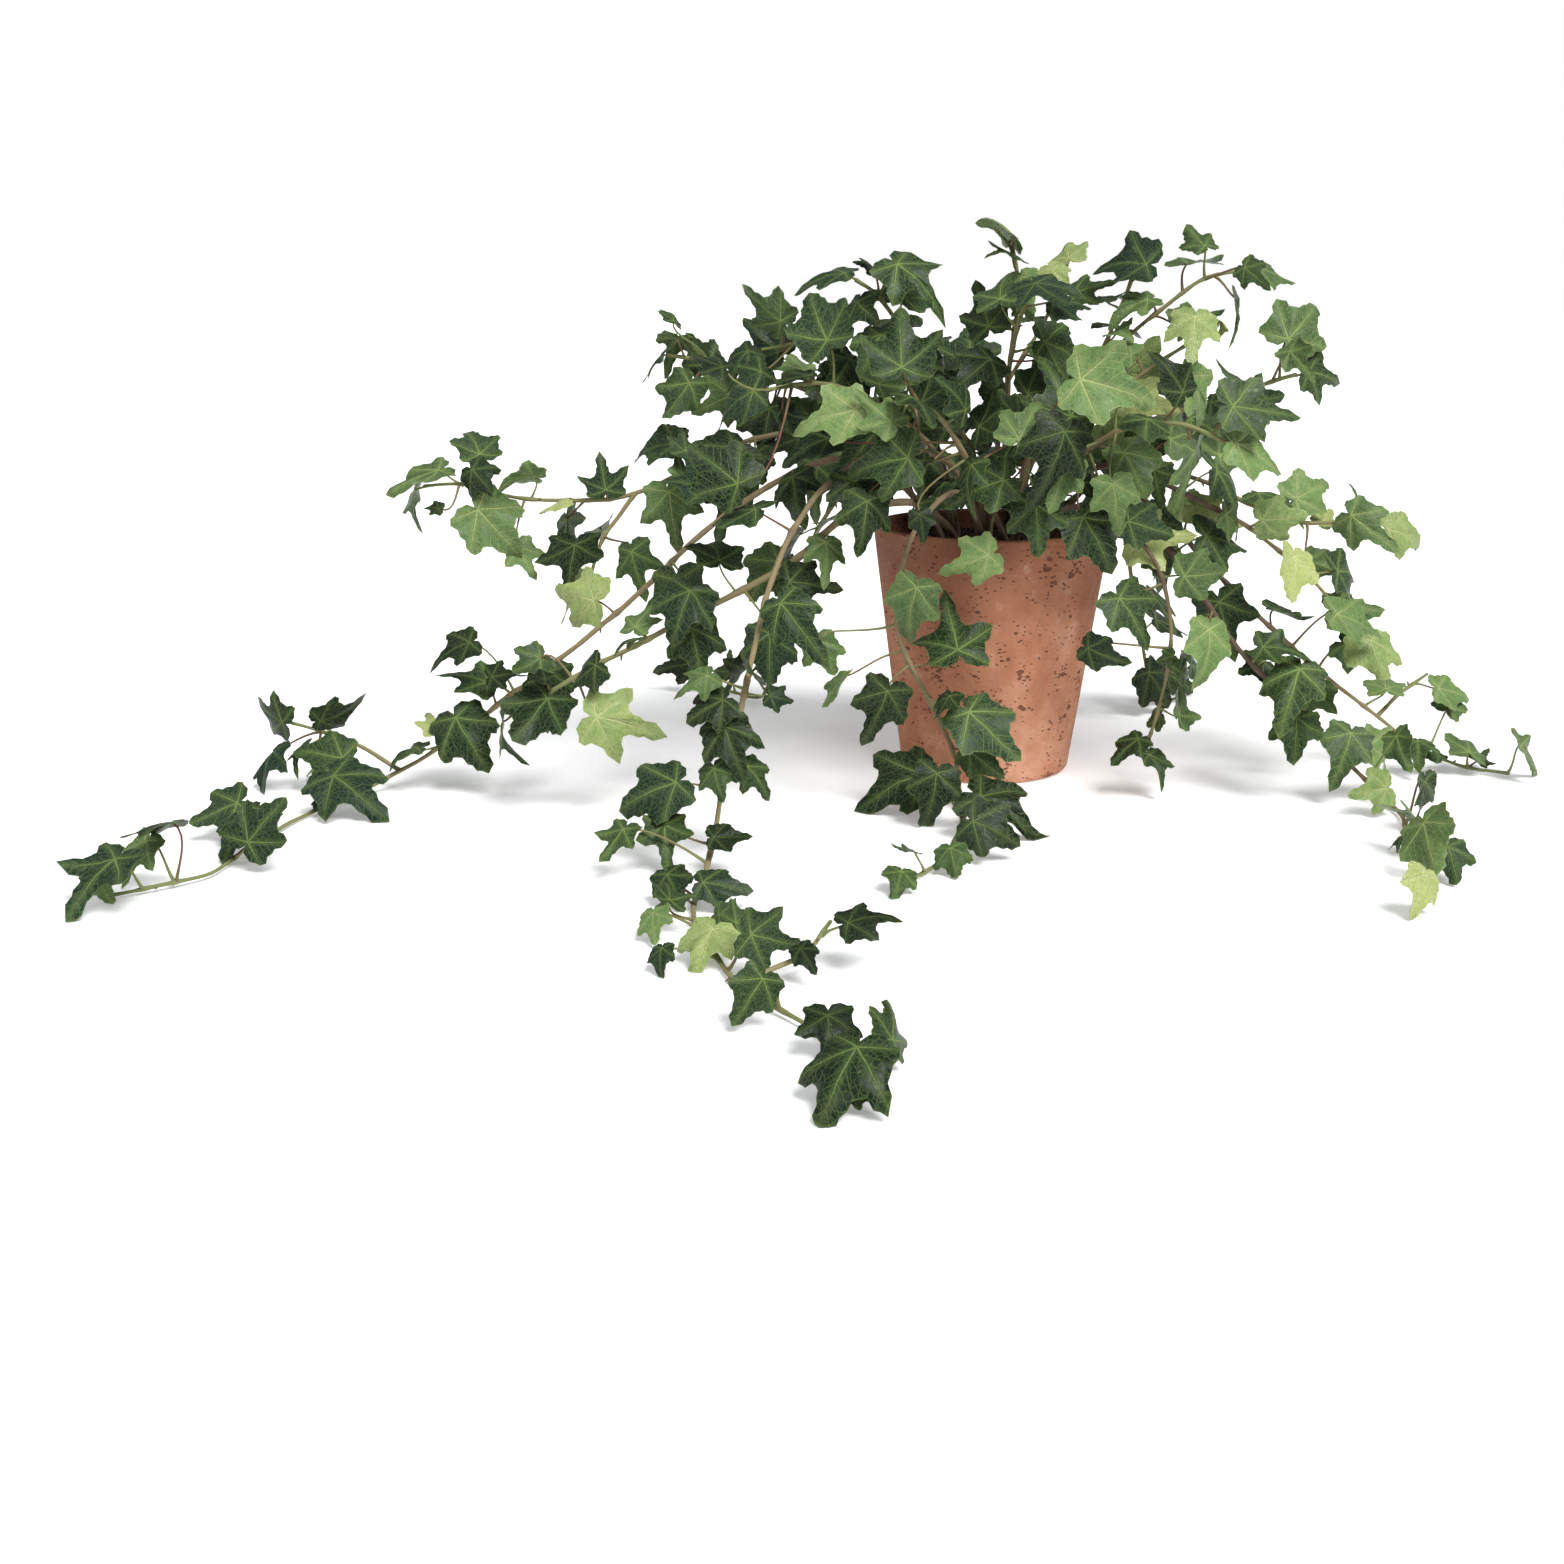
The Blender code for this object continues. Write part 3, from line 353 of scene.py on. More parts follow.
peat = Finish("potting_soil", Specular_IOR_Level=0.3)
spot = peat.place()
lump = peat.cloud(spot, 0.0040, 5.0, 0.7)
fibre = peat.cloud(spot, 0.0012, 3.0, 0.6)
earth = peat.ramp(lump * 0.6 + fibre * 0.4, (0.32, (0.010, 0.007, 0.005)),
                  (0.52, (0.032, 0.021, 0.014)), (0.74, (0.085, 0.056, 0.036)))
peat.feed("Base Color", earth)
peat.feed("Roughness", 0.97 - fibre * 0.15)
peat.bumped(lump * 0.7 + fibre * 0.3, 0.0016)
settled(soil, "potting_soil_fill", "potting_soil", "potting_soil", peat)

bpy.ops.object.select_all(action="DESELECT")
bpy.ops.mesh.primitive_ico_sphere_add(subdivisions=1, radius=1.0)
crumb = bpy.context.object
scatter = random.Random(3)
crumb_points, crumb_faces = [], []
crumb_shape = [corner.co.copy() for corner in crumb.data.vertices]
crumb_sides = [tuple(face.vertices) for face in crumb.data.polygons]
for _ in range(240):
    turn = scatter.uniform(0, math.tau)
    share = math.sqrt(scatter.uniform(0.0, 0.96))
    reach = share * (soil_radius - 0.0035)
    size = scatter.uniform(0.0007, 0.0021)
    ground = soil_edge + soil_crown * (1 - share * share)
    middle = Vector((reach * math.cos(turn), reach * math.sin(turn), ground + size * 0.2))
    first = len(crumb_points)
    flat = Vector([scatter.uniform(0.6, 1.5) for _ in range(3)])
    for corner in crumb_shape:
        crumb_points.append(middle + corner * flat * size * scatter.uniform(0.75, 1.15))
    crumb_faces += [tuple(first + number for number in side) for side in crumb_sides]
crumb.data.clear_geometry()
crumb.data.from_pydata(crumb_points, [], crumb_faces)
settled(crumb, "soil_crumbs", "potting_soil", "potting_soil", peat)

# ---- How the vines run -----------------------------------------------------------------
# Common ivy with many rooted cuttings in one pot. The short sprigs stand up in a mound, and
# the long vines run over the rim, hang down the pot and lie along the surface it stands on.
# Every leaf turns its face to the light and takes the first free space by its stem.

# The vines' sizes are in millimetres.
# stems: routes from the soil outwards, a fork starting at a point of its parent's route.
# radius: at the foot and at the tip.
# leaves: distance from the foot to the first leaf and from each leaf to the next one,
# then the length of the first blade and of the last one.
Vine = namedtuple("Vine", "stems radius leaves")


def metres(sizes):
    """Millimetres, alone or in nested rows, as metres."""
    if isinstance(sizes, tuple):
        return tuple(metres(size) for size in sizes)
    return sizes / 1000


vine_sizes = {
    "left_long_vine": (
        (((-34, -18), (-58, -24, 186), (-90, -30, 204), (-124, -36, 198), (-178, -50, 166),
          (-246, -58, 106), (-320, -60, 50), (-378, -64, 12), (-416, -112, 3), (-436, -180, 3),
          (-446, -236, 3), (-474, -262, 3), (-490, -272, 3)),
         ((-378, -64, 12), (-412, -52, 28), (-450, -44, 38))),
        (1.9, 0.8), (80, 48, 42, 30)),
    "left_thick_vine": (
        (((-26, -34), (-52, -56, 180), (-94, -76, 176), (-134, -86, 146), (-200, -94, 112),
          (-262, -100, 80), (-300, -102, 58)),),
        (2.2, 1), (110, 34, 42, 36)),
    "left_upper_vine": (
        (((-22, 6), (-48, 10, 198), (-90, 15, 220), (-160, 20, 210), (-232, 28, 176),
          (-300, 30, 172), (-348, 30, 182), (-372, 30, 180)),
         ((-232, 28, 176), (-252, 20, 150), (-262, 14, 122))),
        (1.8, 0.8), (80, 36, 43, 34)),
    "centre_left_vine": (
        (((-10, -46), (-34, -62, 205), (-80, -76, 212), (-118, -96, 186), (-136, -116, 158),
          (-148, -150, 124), (-157, -180, 90), (-167, -198, 50), (-173, -212, 16),
          (-178, -250, 4), (-180, -305, 3), (-156, -390, 3), (-126, -436, 3), (-108, -470, 3),
          (-108, -510, 3)),
         ((-156, -390, 3), (-126, -376, 10), (-112, -352, 18))),
        (1.7, 0.8), (90, 52, 42, 22)),
    "front_vine": (
        (((4, -52), (-12, -62, 182), (-34, -74, 188), (-52, -86, 174), (-62, -96, 154),
          (-68, -100, 127), (-62, -100, 97), (-45, -96, 64), (-30, -95, 33), (-26, -110, 6),
          (-30, -150, 3), (-47, -215, 3), (-70, -250, 3)),),
        (1.6, 0.8), (70, 60, 42, 28)),
    "right_low_vine": (
        (((30, -40), (50, -48, 178), (78, -52, 176), (113, -62, 140), (145, -70, 95),
          (188, -80, 52), (222, -85, 18), (238, -112, 3), (229, -165, 3), (213, -239, 3),
          (196, -284, 3)),),
        (1.7, 0.8), (70, 42, 42, 22)),
    "right_long_vine": (
        (((40, -8), (60, -12, 186), (94, -18, 178), (138, -20, 136), (197, -20, 80),
          (255, -18, 36), (292, -16, 10), (320, -28, 3), (336, -40, 3)),
         ((255, -18, 36), (276, 0, 48), (296, 10, 58))),
        (1.8, 0.8), (80, 42, 42, 28)),
    "right_hanging_vine": (
        (((17, -53), (38, -64, 178), (66, -70, 174), (94, -74, 142), (104, -74, 100),
          (100, -72, 56), (92, -72, 22)),),
        (1.5, 0.8), (80, 44, 34, 22)),
    "right_drooping_vine": (
        (((36, 6), (56, 8, 188), (90, 8, 198), (148, 6, 182), (188, 4, 162), (220, 2, 160),
          (250, 0, 156)),),
        (1.6, 0.8), (70, 24, 42, 32)),
    "right_middle_vine": (
        (((45, -26), (64, -32, 190), (100, -42, 190), (154, -50, 164), (196, -54, 130),
          (226, -56, 96)),),
        (1.6, 0.8), (80, 24, 42, 32)),
    "right_upper_sprig": (
        (((26, 20), (42, 24, 192), (82, 30, 214), (128, 34, 230), (166, 32, 242),
          (198, 28, 252)),),
        (1.6, 0.9), (60, 16.7, 42, 34)),
    "top_centre_sprig": (
        (((0, 20), (10, 28, 197), (12, 32, 249), (16, 32, 300), (12, 30, 328), (0, 28, 342)),
         ((12, 32, 249), (34, 40, 284), (48, 42, 320))),
        (1.7, 0.8), (42, 19.5, 42, 26)),
    "top_right_sprig": (
        (((14, 2), (28, 2, 205), (61, 2, 252), (97, 0, 290), (128, 0, 312), (154, 0, 318)),
         ((61, 2, 252), (76, 6, 290), (88, 8, 328))),
        (1.7, 0.8), (40, 22.3, 44, 30)),
    "top_left_sprig": (
        (((-10, -6), (-14, -8, 205), (-44, -12, 248), (-60, -12, 280), (-76, -12, 302),
          (-90, -12, 312)),),
        (1.7, 0.9), (36, 15.5, 44, 34)),
    "left_sprig": (
        (((-23, -14), (-38, -32, 205), (-78, -48, 240), (-114, -54, 252), (-144, -56, 248)),),
        (1.6, 1), (36, 14.5, 44, 38)),
    "left_back_sprig": (
        (((-34, 22), (-62, 34, 205), (-104, 42, 236), (-154, 46, 250), (-184, 46, 260),
          (-210, 44, 264)),),
        (1.7, 0.9), (42, 16.5, 42, 32)),
    "left_crown_sprig": (
        (((-22, 22), (-34, 22, 205), (-62, 22, 244), (-96, 20, 266), (-128, 18, 272),
          (-152, 16, 268)),),
        (1.6, 0.9), (42, 15, 42, 34)),
    "front_centre_sprig": (
        (((12, -36), (12, -52, 190), (14, -70, 220), (18, -86, 234), (24, -100, 232)),),
        (1.6, 1), (24, 12.5, 42, 40)),
    "front_left_sprig": (
        (((-6, -30), (-18, -50, 196), (-40, -74, 232), (-62, -90, 244), (-86, -100, 240)),),
        (1.6, 1), (26, 13, 44, 40)),
    "front_right_sprig": (
        (((28, -24), (44, -44, 202), (70, -64, 226), (98, -74, 230), (126, -78, 220)),),
        (1.6, 1), (26, 15, 44, 38)),
    "bright_sprig": (
        (((12, -14), (34, -22, 205), (70, -30, 244), (104, -34, 268), (130, -34, 286)),),
        (1.5, 0.8), (38, 14.9, 42, 32)),
    "crown_sprig": (
        (((0, 4), (2, 0, 205), (6, -10, 252), (10, -22, 286), (14, -34, 304)),),
        (1.6, 1), (38, 14.9, 44, 36)),
    "back_left_vine": (
        (((-20, 44), (-40, 64, 188), (-72, 90, 190), (-104, 116, 150), (-124, 136, 96),
          (-138, 152, 44), (-150, 168, 6), (-172, 190, 3), (-200, 206, 3)),),
        (1.7, 0.8), (60, 36, 42, 28)),
    "back_right_vine": (
        (((24, 44), (44, 64, 186), (78, 90, 182), (106, 112, 140), (122, 128, 86),
          (134, 142, 36), (146, 158, 4), (172, 180, 3)),),
        (1.7, 0.8), (60, 36, 42, 30)),
    "back_hanging_vine": (
        (((4, 52), (6, 74, 182), (4, 100, 176), (0, 116, 136), (-6, 120, 90), (-10, 120, 50)),),
        (1.5, 0.8), (50, 34, 40, 28)),
    "back_centre_sprig": (
        (((-8, 34), (-12, 50, 200), (-20, 74, 238), (-26, 92, 258), (-30, 108, 266)),),
        (1.6, 1), (40, 19, 44, 38)),
    "back_right_sprig": (
        (((42, 28), (60, 50, 190), (90, 78, 214), (114, 92, 224), (138, 100, 218)),),
        (1.6, 1), (40, 20, 42, 36)),
    "back_left_sprig": (
        (((-40, 36), (-60, 56, 196), (-84, 74, 222), (-110, 90, 228), (-134, 100, 218)),),
        (1.6, 1), (40, 20, 42, 36)),
}
vines = {name: Vine(*metres(sizes)) for name, sizes in vine_sizes.items()}

# Leaves that hang clear of the mound and so have a known place: where the stalk meets the
# blade, then which way its tip points, clockwise from straight up as seen from the front,
# how far the blade is turned about its midrib, and its length. Again in millimetres.
Held = namedtuple("Held", "x y z turn lean length")

held_places = {
    "left_long_vine": (
        (-481, -276, 12, 210, 15, 39), (-458, -254, 38, 260, 60, 28),
        (-459, -257, 19, 10, 10, 32), (-484, -278, 34, 230, 40, 20),
        (-432, -188, 4, 200, 10, 40), (-407, -115, 4, 130, 0, 45),
        (-465, -52, 19, 200, 20, 39), (-469, -52, 41, 30, 125, 26),
        (-429, -55, 48, 55, 115, 39), (-432, -57, 16, 210, 40, 21),
        (-340, -69, 48, 150, 10, 38), (-352, -70, 45, 5, 35, 30), (-329, -68, 96, 250, 0, 27),
        (-316, -68, 77, 80, 20, 21)),
    "left_thick_vine": (
        (-275, -109, 69, 220, 0, 42), (-246, -108, 55, 100, 0, 39),
        (-278, -108, 110, 230, 165, 22), (-215, -104, 100, 260, 55, 21),
        (-143, -97, 103, 180, 0, 32), (-128, -93, 142, 105, 0, 37),
        (-173, -94, 151, 350, 20, 30), (-190, -100, 134, 200, 0, 34),
        (-107, -88, 162, 200, 0, 32)),
    "left_upper_vine": (
        (-360, 22, 192, 245, 25, 39), (-338, 22, 192, 145, 30, 25),
        (-335, 22, 164, 135, 0, 41), (-358, 22, 147, 280, 20, 11), (-271, 9, 145, 185, 10, 38),
        (-251, 21, 179, 350, 0, 31), (-214, 14, 135, 185, 40, 36),
        (-278, 21, 169, 235, 20, 24), (-310, 22, 141, 155, 160, 26),
        (-180, 4, 213, 300, 160, 36), (-152, 4, 205, 170, 10, 22), (-129, 4, 213, 265, 20, 24),
        (-200, 8, 201, 340, 0, 32), (-210, 16, 178, 170, 0, 36), (-166, 4, 181, 200, 0, 34),
        (-111, -4, 195, 190, 20, 32)),
    "centre_left_vine": (
        (-142, -186, 89, 105, 10, 14), (-177, -183, 101, 240, 5, 21),
        (-168, -191, 89, 240, 5, 25), (-169, -197, 74, 155, 0, 35),
        (-194, -210, 47, 250, 0, 35), (-200, -219, 25, 175, 0, 27),
        (-217, -226, 30, 190, 60, 31), (-174, -228, 16, 45, 0, 34),
        (-173, -206, 54, 170, 20, 20), (-176, -285, 5, 95, 10, 26),
        (-194, -277, 11, 160, 25, 27), (-168, -356, 5, 205, 5, 25),
        (-163, -356, 10, 80, 55, 27), (-127, -382, 17, 155, 15, 15),
        (-202, -313, 4, 0, 35, 19), (-199, -326, 4, 180, 30, 19), (-192, -368, 4, 195, 20, 16),
        (-116, -459, 10, 180, 0, 24), (-90, -478, 9, 10, 50, 24), (-106, -504, 7, 210, 15, 36)),
    "front_vine": (
        (-8, -88, 150, 235, 0, 37), (-30, -106, 99, 355, 0, 45), (-33, -104, 68, 210, 30, 20),
        (-22, -104, 60, 140, 0, 45), (-50, -110, 19, 250, 0, 45), (-20, -158, 4, 120, 0, 45),
        (-73, -258, 4, 265, 15, 20), (-43, -225, 4, 175, 10, 19),
        (-111, -108, 109, 160, 170, 25), (-98, -108, 84, 235, 60, 27)),
    "right_hanging_vine": (
        (106, -81, 84, 30, 20, 28), (110, -80, 52, 15, 50, 26), (87, -80, 36, 235, 20, 24),
        (68, -82, 124, 145, 0, 33), (52, -81, 95, 125, 55, 26)),
    "right_low_vine": (
        (182, -85, 83, 200, 10, 45), (169, -82, 94, 240, 160, 23), (218, -91, 39, 195, 15, 43),
        (212, -232, 6, 190, 55, 38), (221, -203, 6, 355, 65, 28), (238, -97, 40, 170, 55, 36)),
    "right_long_vine": (
        (306, 0, 35, 35, 10, 26), (297, -28, 6, 320, 5, 24), (312, -34, 16, 15, 15, 28),
        (322, -40, 4, 80, 50, 35), (218, -28, 109, 85, 15, 35), (227, -27, 86, 130, 20, 28)),
    "right_drooping_vine": (
        (230, -7, 166, 140, 40, 32), (206, -5, 138, 120, 5, 26)),
    "top_right_sprig": (
        (125, -8, 332, 330, 5, 21), (153, -8, 320, 110, 0, 29), (93, 0, 322, 300, 0, 38),
        (92, -8, 300, 250, 15, 26)),
    "bright_sprig": (
        (114, -42, 291, 190, 0, 33), (123, -42, 301, 120, 50, 20)),
    "right_upper_sprig": (
        (163, 24, 234, 80, 0, 32), (190, 20, 268, 155, 30, 23), (214, 20, 253, 155, 10, 29)),
    "top_left_sprig": (
        (-65, -20, 321, 135, 0, 40), (-94, -20, 310, 355, 60, 23)),
    "top_centre_sprig": (
        (42, 34, 328, 155, 160, 31), (36, 34, 319, 145, 10, 21), (9, 21, 337, 325, 60, 29),
        (16, 23, 314, 175, 20, 27)),
    "left_sprig": (
        (-161, -64, 177, 310, 0, 40), (-190, -64, 199, 275, 10, 26)),
    "front_left_sprig": (
        (-63, -98, 205, 265, 0, 35), (-65, -84, 165, 190, 20, 25), (-95, -62, 165, 200, 0, 34),
        (-101, -50, 183, 250, 25, 31), (-82, -88, 213, 300, 0, 34),
        (-41, -88, 186, 215, 15, 30)),
    "front_centre_sprig": (
        (-5, -96, 199, 250, 0, 34), (-26, -98, 205, 200, 40, 30), (15, -92, 184, 175, 0, 30),
        (3, -104, 223, 20, 0, 33)),
    "front_right_sprig": (
        (44, -90, 176, 150, 0, 38), (21, -88, 147, 140, 0, 40), (32, -98, 210, 200, 0, 32),
        (59, -98, 197, 170, 0, 28), (73, -80, 173, 110, 20, 30)),
    "left_back_sprig": (
        (-167, 36, 242, 235, 160, 32), (-193, 36, 243, 215, 20, 32),
        (-213, 36, 271, 25, 0, 26), (-189, 36, 271, 330, 165, 26), (-207, 36, 241, 195, 0, 36),
        (-143, 32, 230, 190, 10, 34)),
    "left_crown_sprig": (
        (-137, 12, 272, 330, 160, 34), (-151, 8, 255, 235, 0, 32),
        (-116, 12, 281, 20, 150, 38), (-95, 6, 250, 200, 0, 40)),
}

fit = 0.0004                # clearance between pieces that touch
socket_depth = 0.0080
stem_sides = 5
stem_step = 0.0190          # distance between the rings of a stem
stalk_radius = 0.00075
stalk_sides = 3
stalk_clear = 0.0030        # where a stalk is clear of its own stem
stalk_rise = 0.55           # how steeply a stalk comes up behind its blade
blade_thickness = 0.0013
clearance = 0.0005          # free space kept round every leaf and stem
guard_width = 1.04          # and the width of a blade's guard against the blade

up = Vector((0.0, 0.0, 1.0))
daylight = Vector((-0.06, -0.80, 0.60)).normalized()    # the blades face this way
heart = Vector((0.0, 0.0, 0.170))                       # and away from the plant's middle
attempts = 20
seed = 7

# An ivy blade round its stalk: degrees from the midrib, reach as a share of its length.
lobe_reaches = ((0, 1.0), (23, 0.60), (51, 0.80), (82, 0.52), (116, 0.56), (180, 0.10))
plain_outline = lobe_reaches + tuple((-angle, reach) for angle, reach in lobe_reaches[-2:0:-1])

blade_middle = 0.22         # the thickest place, ahead of the stalk

# foot: on the stem's middle line. base: where the stalk meets the blade. across, along
# and face: the blade's own directions, sideways, towards its tip and out of its face.
Leaf = namedtuple("Leaf", "foot base across along face length")


def soil_height(x, y):
    share = min(1.0, math.hypot(x, y) / soil_reach)
    return soil_edge + soil_crown * (1.0 - share * share)


def smooth(points, step):
    """Points about one step apart on a smooth curve through the given ones."""
    ends = [2 * points[0] - points[1], *points, 2 * points[-1] - points[-2]]
    curve = []
    for a, b, c, d in zip(ends, ends[1:], ends[2:], ends[3:]):
        pieces = max(1, round((c - b).length / step))
        for i in range(pieces):
            t = i / pieces
            curve.append(0.5 * (2 * b + (c - a) * t + (2 * a - 5 * b + 4 * c - d) * t ** 2
                                + (3 * b - a - 3 * c + d) * t ** 3))
    return curve + [points[-1]]


def stem_curves(vine):
    """Each stem of a vine as its centre line and its radii; the first stands in the soil."""
    foot_x, foot_y = vine.stems[0][0]
    ground = soil_height(foot_x, foot_y)
    thick, thin = vine.radius
    curves = []
    for route in vine.stems:
        if curves:
            points = [Vector(point) for point in route]
            start = 0.5
        else:
            points = [Vector((foot_x, foot_y, ground - socket_depth + fit)),
                      Vector((foot_x, foot_y, ground + socket_depth / 2))]
            points += [Vector(point) for point in route[1:]]
            start = 0.0
        line = smooth(points, stem_step)
        shares = [start + (1 - start) * i / (len(line) - 1) for i in range(len(line))]
        radii = [thick + (thin - thick) * share for share in shares]
        for point, radius in zip(line, radii):
            point.z = max(point.z, radius + fit)
        curves.append((line, radii))
    return curves


def tube(line, radii, sides):
    """Rings of a round stem along a line, carried along it without a twist."""
    across = (line[1] - line[0]).orthogonal().normalized()
    rings = []
    for i, (point, radius) in enumerate(zip(line, radii)):
        ahead = (line[min(i + 1, len(line) - 1)] - line[max(i - 1, 0)]).normalized()
        across = (across - ahead * across.dot(ahead)).normalized()
        other = ahead.cross(across)
        turns = [math.tau * k / sides for k in range(sides)]
        rings.append([point + (across * math.cos(a) + other * math.sin(a)) * radius
                      for a in turns])
    return rings


def blade_point(leaf, side, ahead, lift=0.0):
    """A place on the blade; side and ahead are shares of its length from the stalk."""
    droop = 0.14 * abs(side) + 0.20 * ahead * abs(ahead)
    flat = leaf.across * side + leaf.along * ahead - leaf.face * droop
    return leaf.base + flat * leaf.length + leaf.face * lift


def blade_rim(leaf, lift=0.0):
    """The rim of the space that a blade needs."""
    rim = []
    for angle, reach in plain_outline:
        turn = math.radians(angle)
        rim.append(blade_point(leaf, math.sin(turn) * reach * guard_width,
                               math.cos(turn) * reach * guard_width, lift))
    return rim


def bridged(low, high):
    """Triangles between two loops of corner numbers; a loop of one is a pole."""
    faces = []
    i = j = 0
    while i < len(low) or j < len(high):
        here, there = low[i % len(low)], high[j % len(high)]
        if j == len(high) or (i < len(low) and (i + 1) * len(high) <= (j + 1) * len(low)):
            i += 1
            step = low[i % len(low)]
        else:
            j += 1
            step = high[j % len(high)]
        if step not in (here, there):
            faces.append((here, step, there))
    return faces


def skinned(rings):
    """The corners and faces of one closed body through rings of points."""
    corners = [point for ring in rings for point in ring]
    numbers = iter(range(len(corners)))
    loops = [[next(numbers) for _ in ring] for ring in rings]
    faces = [face for low, high in zip(loops, loops[1:]) for face in bridged(low, high)]
    faces += [tuple(loop) for loop in (loops[0], loops[-1]) if len(loop) > 1]
    return corners, faces


def guard(rings):
    """The space that a body takes up, as its middle, its reach and a tree to test."""
    corners, faces = skinned(rings)
    middle = sum(corners, Vector()) / len(corners)
    reach = max((corner - middle).length for corner in corners)
    return middle, reach, BVHTree.FromPolygons(corners, faces)


def leaf_guards(leaf):
    """Guards round a blade and round its stalk, from just outside the stem."""
    lift = blade_thickness / 2 + clearance
    top = blade_rim(leaf, lift)
    bottom = blade_rim(leaf, -lift)
    blade = [[blade_point(leaf, 0, blade_middle, lift)], top, bottom,
             [blade_point(leaf, 0, blade_middle, -lift)]]
    clear = leaf.foot + (leaf.base - leaf.foot).normalized() * stalk_clear
    stalk = tube([clear, leaf.base], [stalk_radius + clearance] * 2, stalk_sides)
    return [guard(blade), guard(stalk)]


def held_from_behind(leaf):
    """Whether a leaf's stalk comes to it from behind its face, clear of its blade."""
    stalk = leaf.base - leaf.foot
    return stalk.dot(leaf.face) > 0.2 * stalk.length


def free(guards, taken):
    for middle, reach, tree in guards:
        for other_middle, other_reach, other_tree in taken:
            near = (middle - other_middle).length < reach + other_reach
            if near and tree.overlap(other_tree):
                return False
    return True


def some_way(rng):
    return Vector((rng.uniform(-1, 1), rng.uniform(-1, 1), rng.uniform(-1, 1)))


def clear_of_ground(leaf):
    """The leaf, raised if its blade would dip into what the pot stands on."""
    lowest = min(corner.z for corner in [leaf.base, *blade_rim(leaf)])
    leaf.base.z += max(0.0, blade_thickness / 2 + clearance + fit - lowest)
    return leaf


def posed_leaf(rng, point, ahead, side, length, spread):
    """A leaf on a stem at point: side is +1 or -1, or 0 for the one at the tip."""
    outward = point - heart
    outward.z = max(outward.z, 0.2 * outward.length)
    outward.normalize()
    face = (daylight + 0.55 * outward + 0.72 * spread * some_way(rng)).normalized()
    beside = ahead.cross(face).normalized() * side
    way = 0.9 * beside + 0.35 * ahead + 0.3 * spread * some_way(rng)
    way = (way - face * way.dot(face) + stalk_rise * face).normalized()
    along = 0.6 * beside + (0.45 + 0.6 * (side == 0)) * ahead + 0.35 * outward - 0.5 * up
    along += 0.8 * spread * some_way(rng)
    along = (along - face * along.dot(face)).normalized()
    reach = length * rng.uniform(0.40, 0.75)
    if side == 0:
        reach = length * 0.25
        way = (ahead - face * ahead.dot(face) + stalk_rise * face).normalized()
    base = point + way * reach
    return clear_of_ground(Leaf(point, base, along.cross(face), along, face, length))


def nearest_on(lines, point):
    """The place on any of a vine's stems that is nearest to a point."""
    best = None
    for line in lines:
        for a, b in zip(line, line[1:]):
            share = min(1.0, max(0.0, (point - a).dot(b - a) / (b - a).length_squared))
            place = a + (b - a) * share
            if best is None or (point - place).length < (point - best).length:
                best = place
    return best


def held_leaf(rng, lines, held, slack):
    """A leaf at its own place, moved and turned a little more as the slack grows."""
    base = Vector((held.x, held.y, held.z)) + slack * 0.006 * some_way(rng)
    foot = nearest_on(lines, base)
    if held.z < 0.020:
        rise = math.radians(64)
    else:
        rise = math.radians(25 if base.z < foot.z - 0.004 else 50)
    upward = Vector((0.0, math.sin(rise), math.cos(rise)))
    face = Vector((0.0, -math.cos(rise), math.sin(rise)))
    turn = math.radians(held.turn + 35 * slack * rng.uniform(-1, 1))
    along = (Vector((math.sin(turn), 0.0, 0.0)) + upward * math.cos(turn)).normalized()
    lean = math.radians(held.lean + 35 * slack * rng.uniform(-1, 1))
    face = (Quaternion(along, lean) @ face).normalized()
    for _ in range(3):
        reach = base - foot
        base += face * max(0.0, 0.35 * max(reach.length, 0.008) - reach.dot(face))
    return clear_of_ground(Leaf(foot, base, along.cross(face), along, face, held.length))


def held_leaves(rng, curves, places, taken):
    leaves = []
    for place in places:
        for attempt in range(2 * attempts):
            size = place.length * 0.985 ** attempt
            held = place._replace(length=size)
            leaf = held_leaf(rng, [line[2:-1] for line, _ in curves], held, attempt / attempts)
            guards = leaf_guards(leaf)
            if held_from_behind(leaf) and free(guards, taken):
                taken += guards
                leaves.append(leaf)
                break
    return leaves


def places_along(line, first, gap):
    """Where leaves sit on a stem: each point, the stem's direction and the share of its length."""
    steps = [(b - a).length for a, b in zip(line, line[1:])]
    total = sum(steps)
    distances = [first + gap * i for i in range(int((total - 0.4 * gap - first) / gap) + 1)]
    places = []
    for distance in [*distances, total - stalk_radius]:
        i = 0
        rest = distance
        while rest > steps[i]:
            rest -= steps[i]
            i += 1
        ahead = (line[i + 1] - line[i]).normalized()
        places.append((line[i] + ahead * rest, ahead, distance / total))
    return places


def grown_leaves(rng, vine, curves, taken):
    """The leaves along a vine's stems, left and right by turns, each where it is free."""
    first, gap, large, small = vine.leaves
    leaves = []
    for number, (line, _) in enumerate(curves):
        places = places_along(line, gap if number else first, gap)
        for i, (point, ahead, share) in enumerate(places):
            if number:
                share = (1 + share) / 2
            length = (large + (small - large) * share) * rng.uniform(0.86, 1.12)
            at_tip = i == len(places) - 1
            side = 0 if at_tip else (-1) ** i
            leaf = first_free(rng, point, ahead, side, length, taken)
            if leaf:
                leaves.append(leaf)
    return leaves


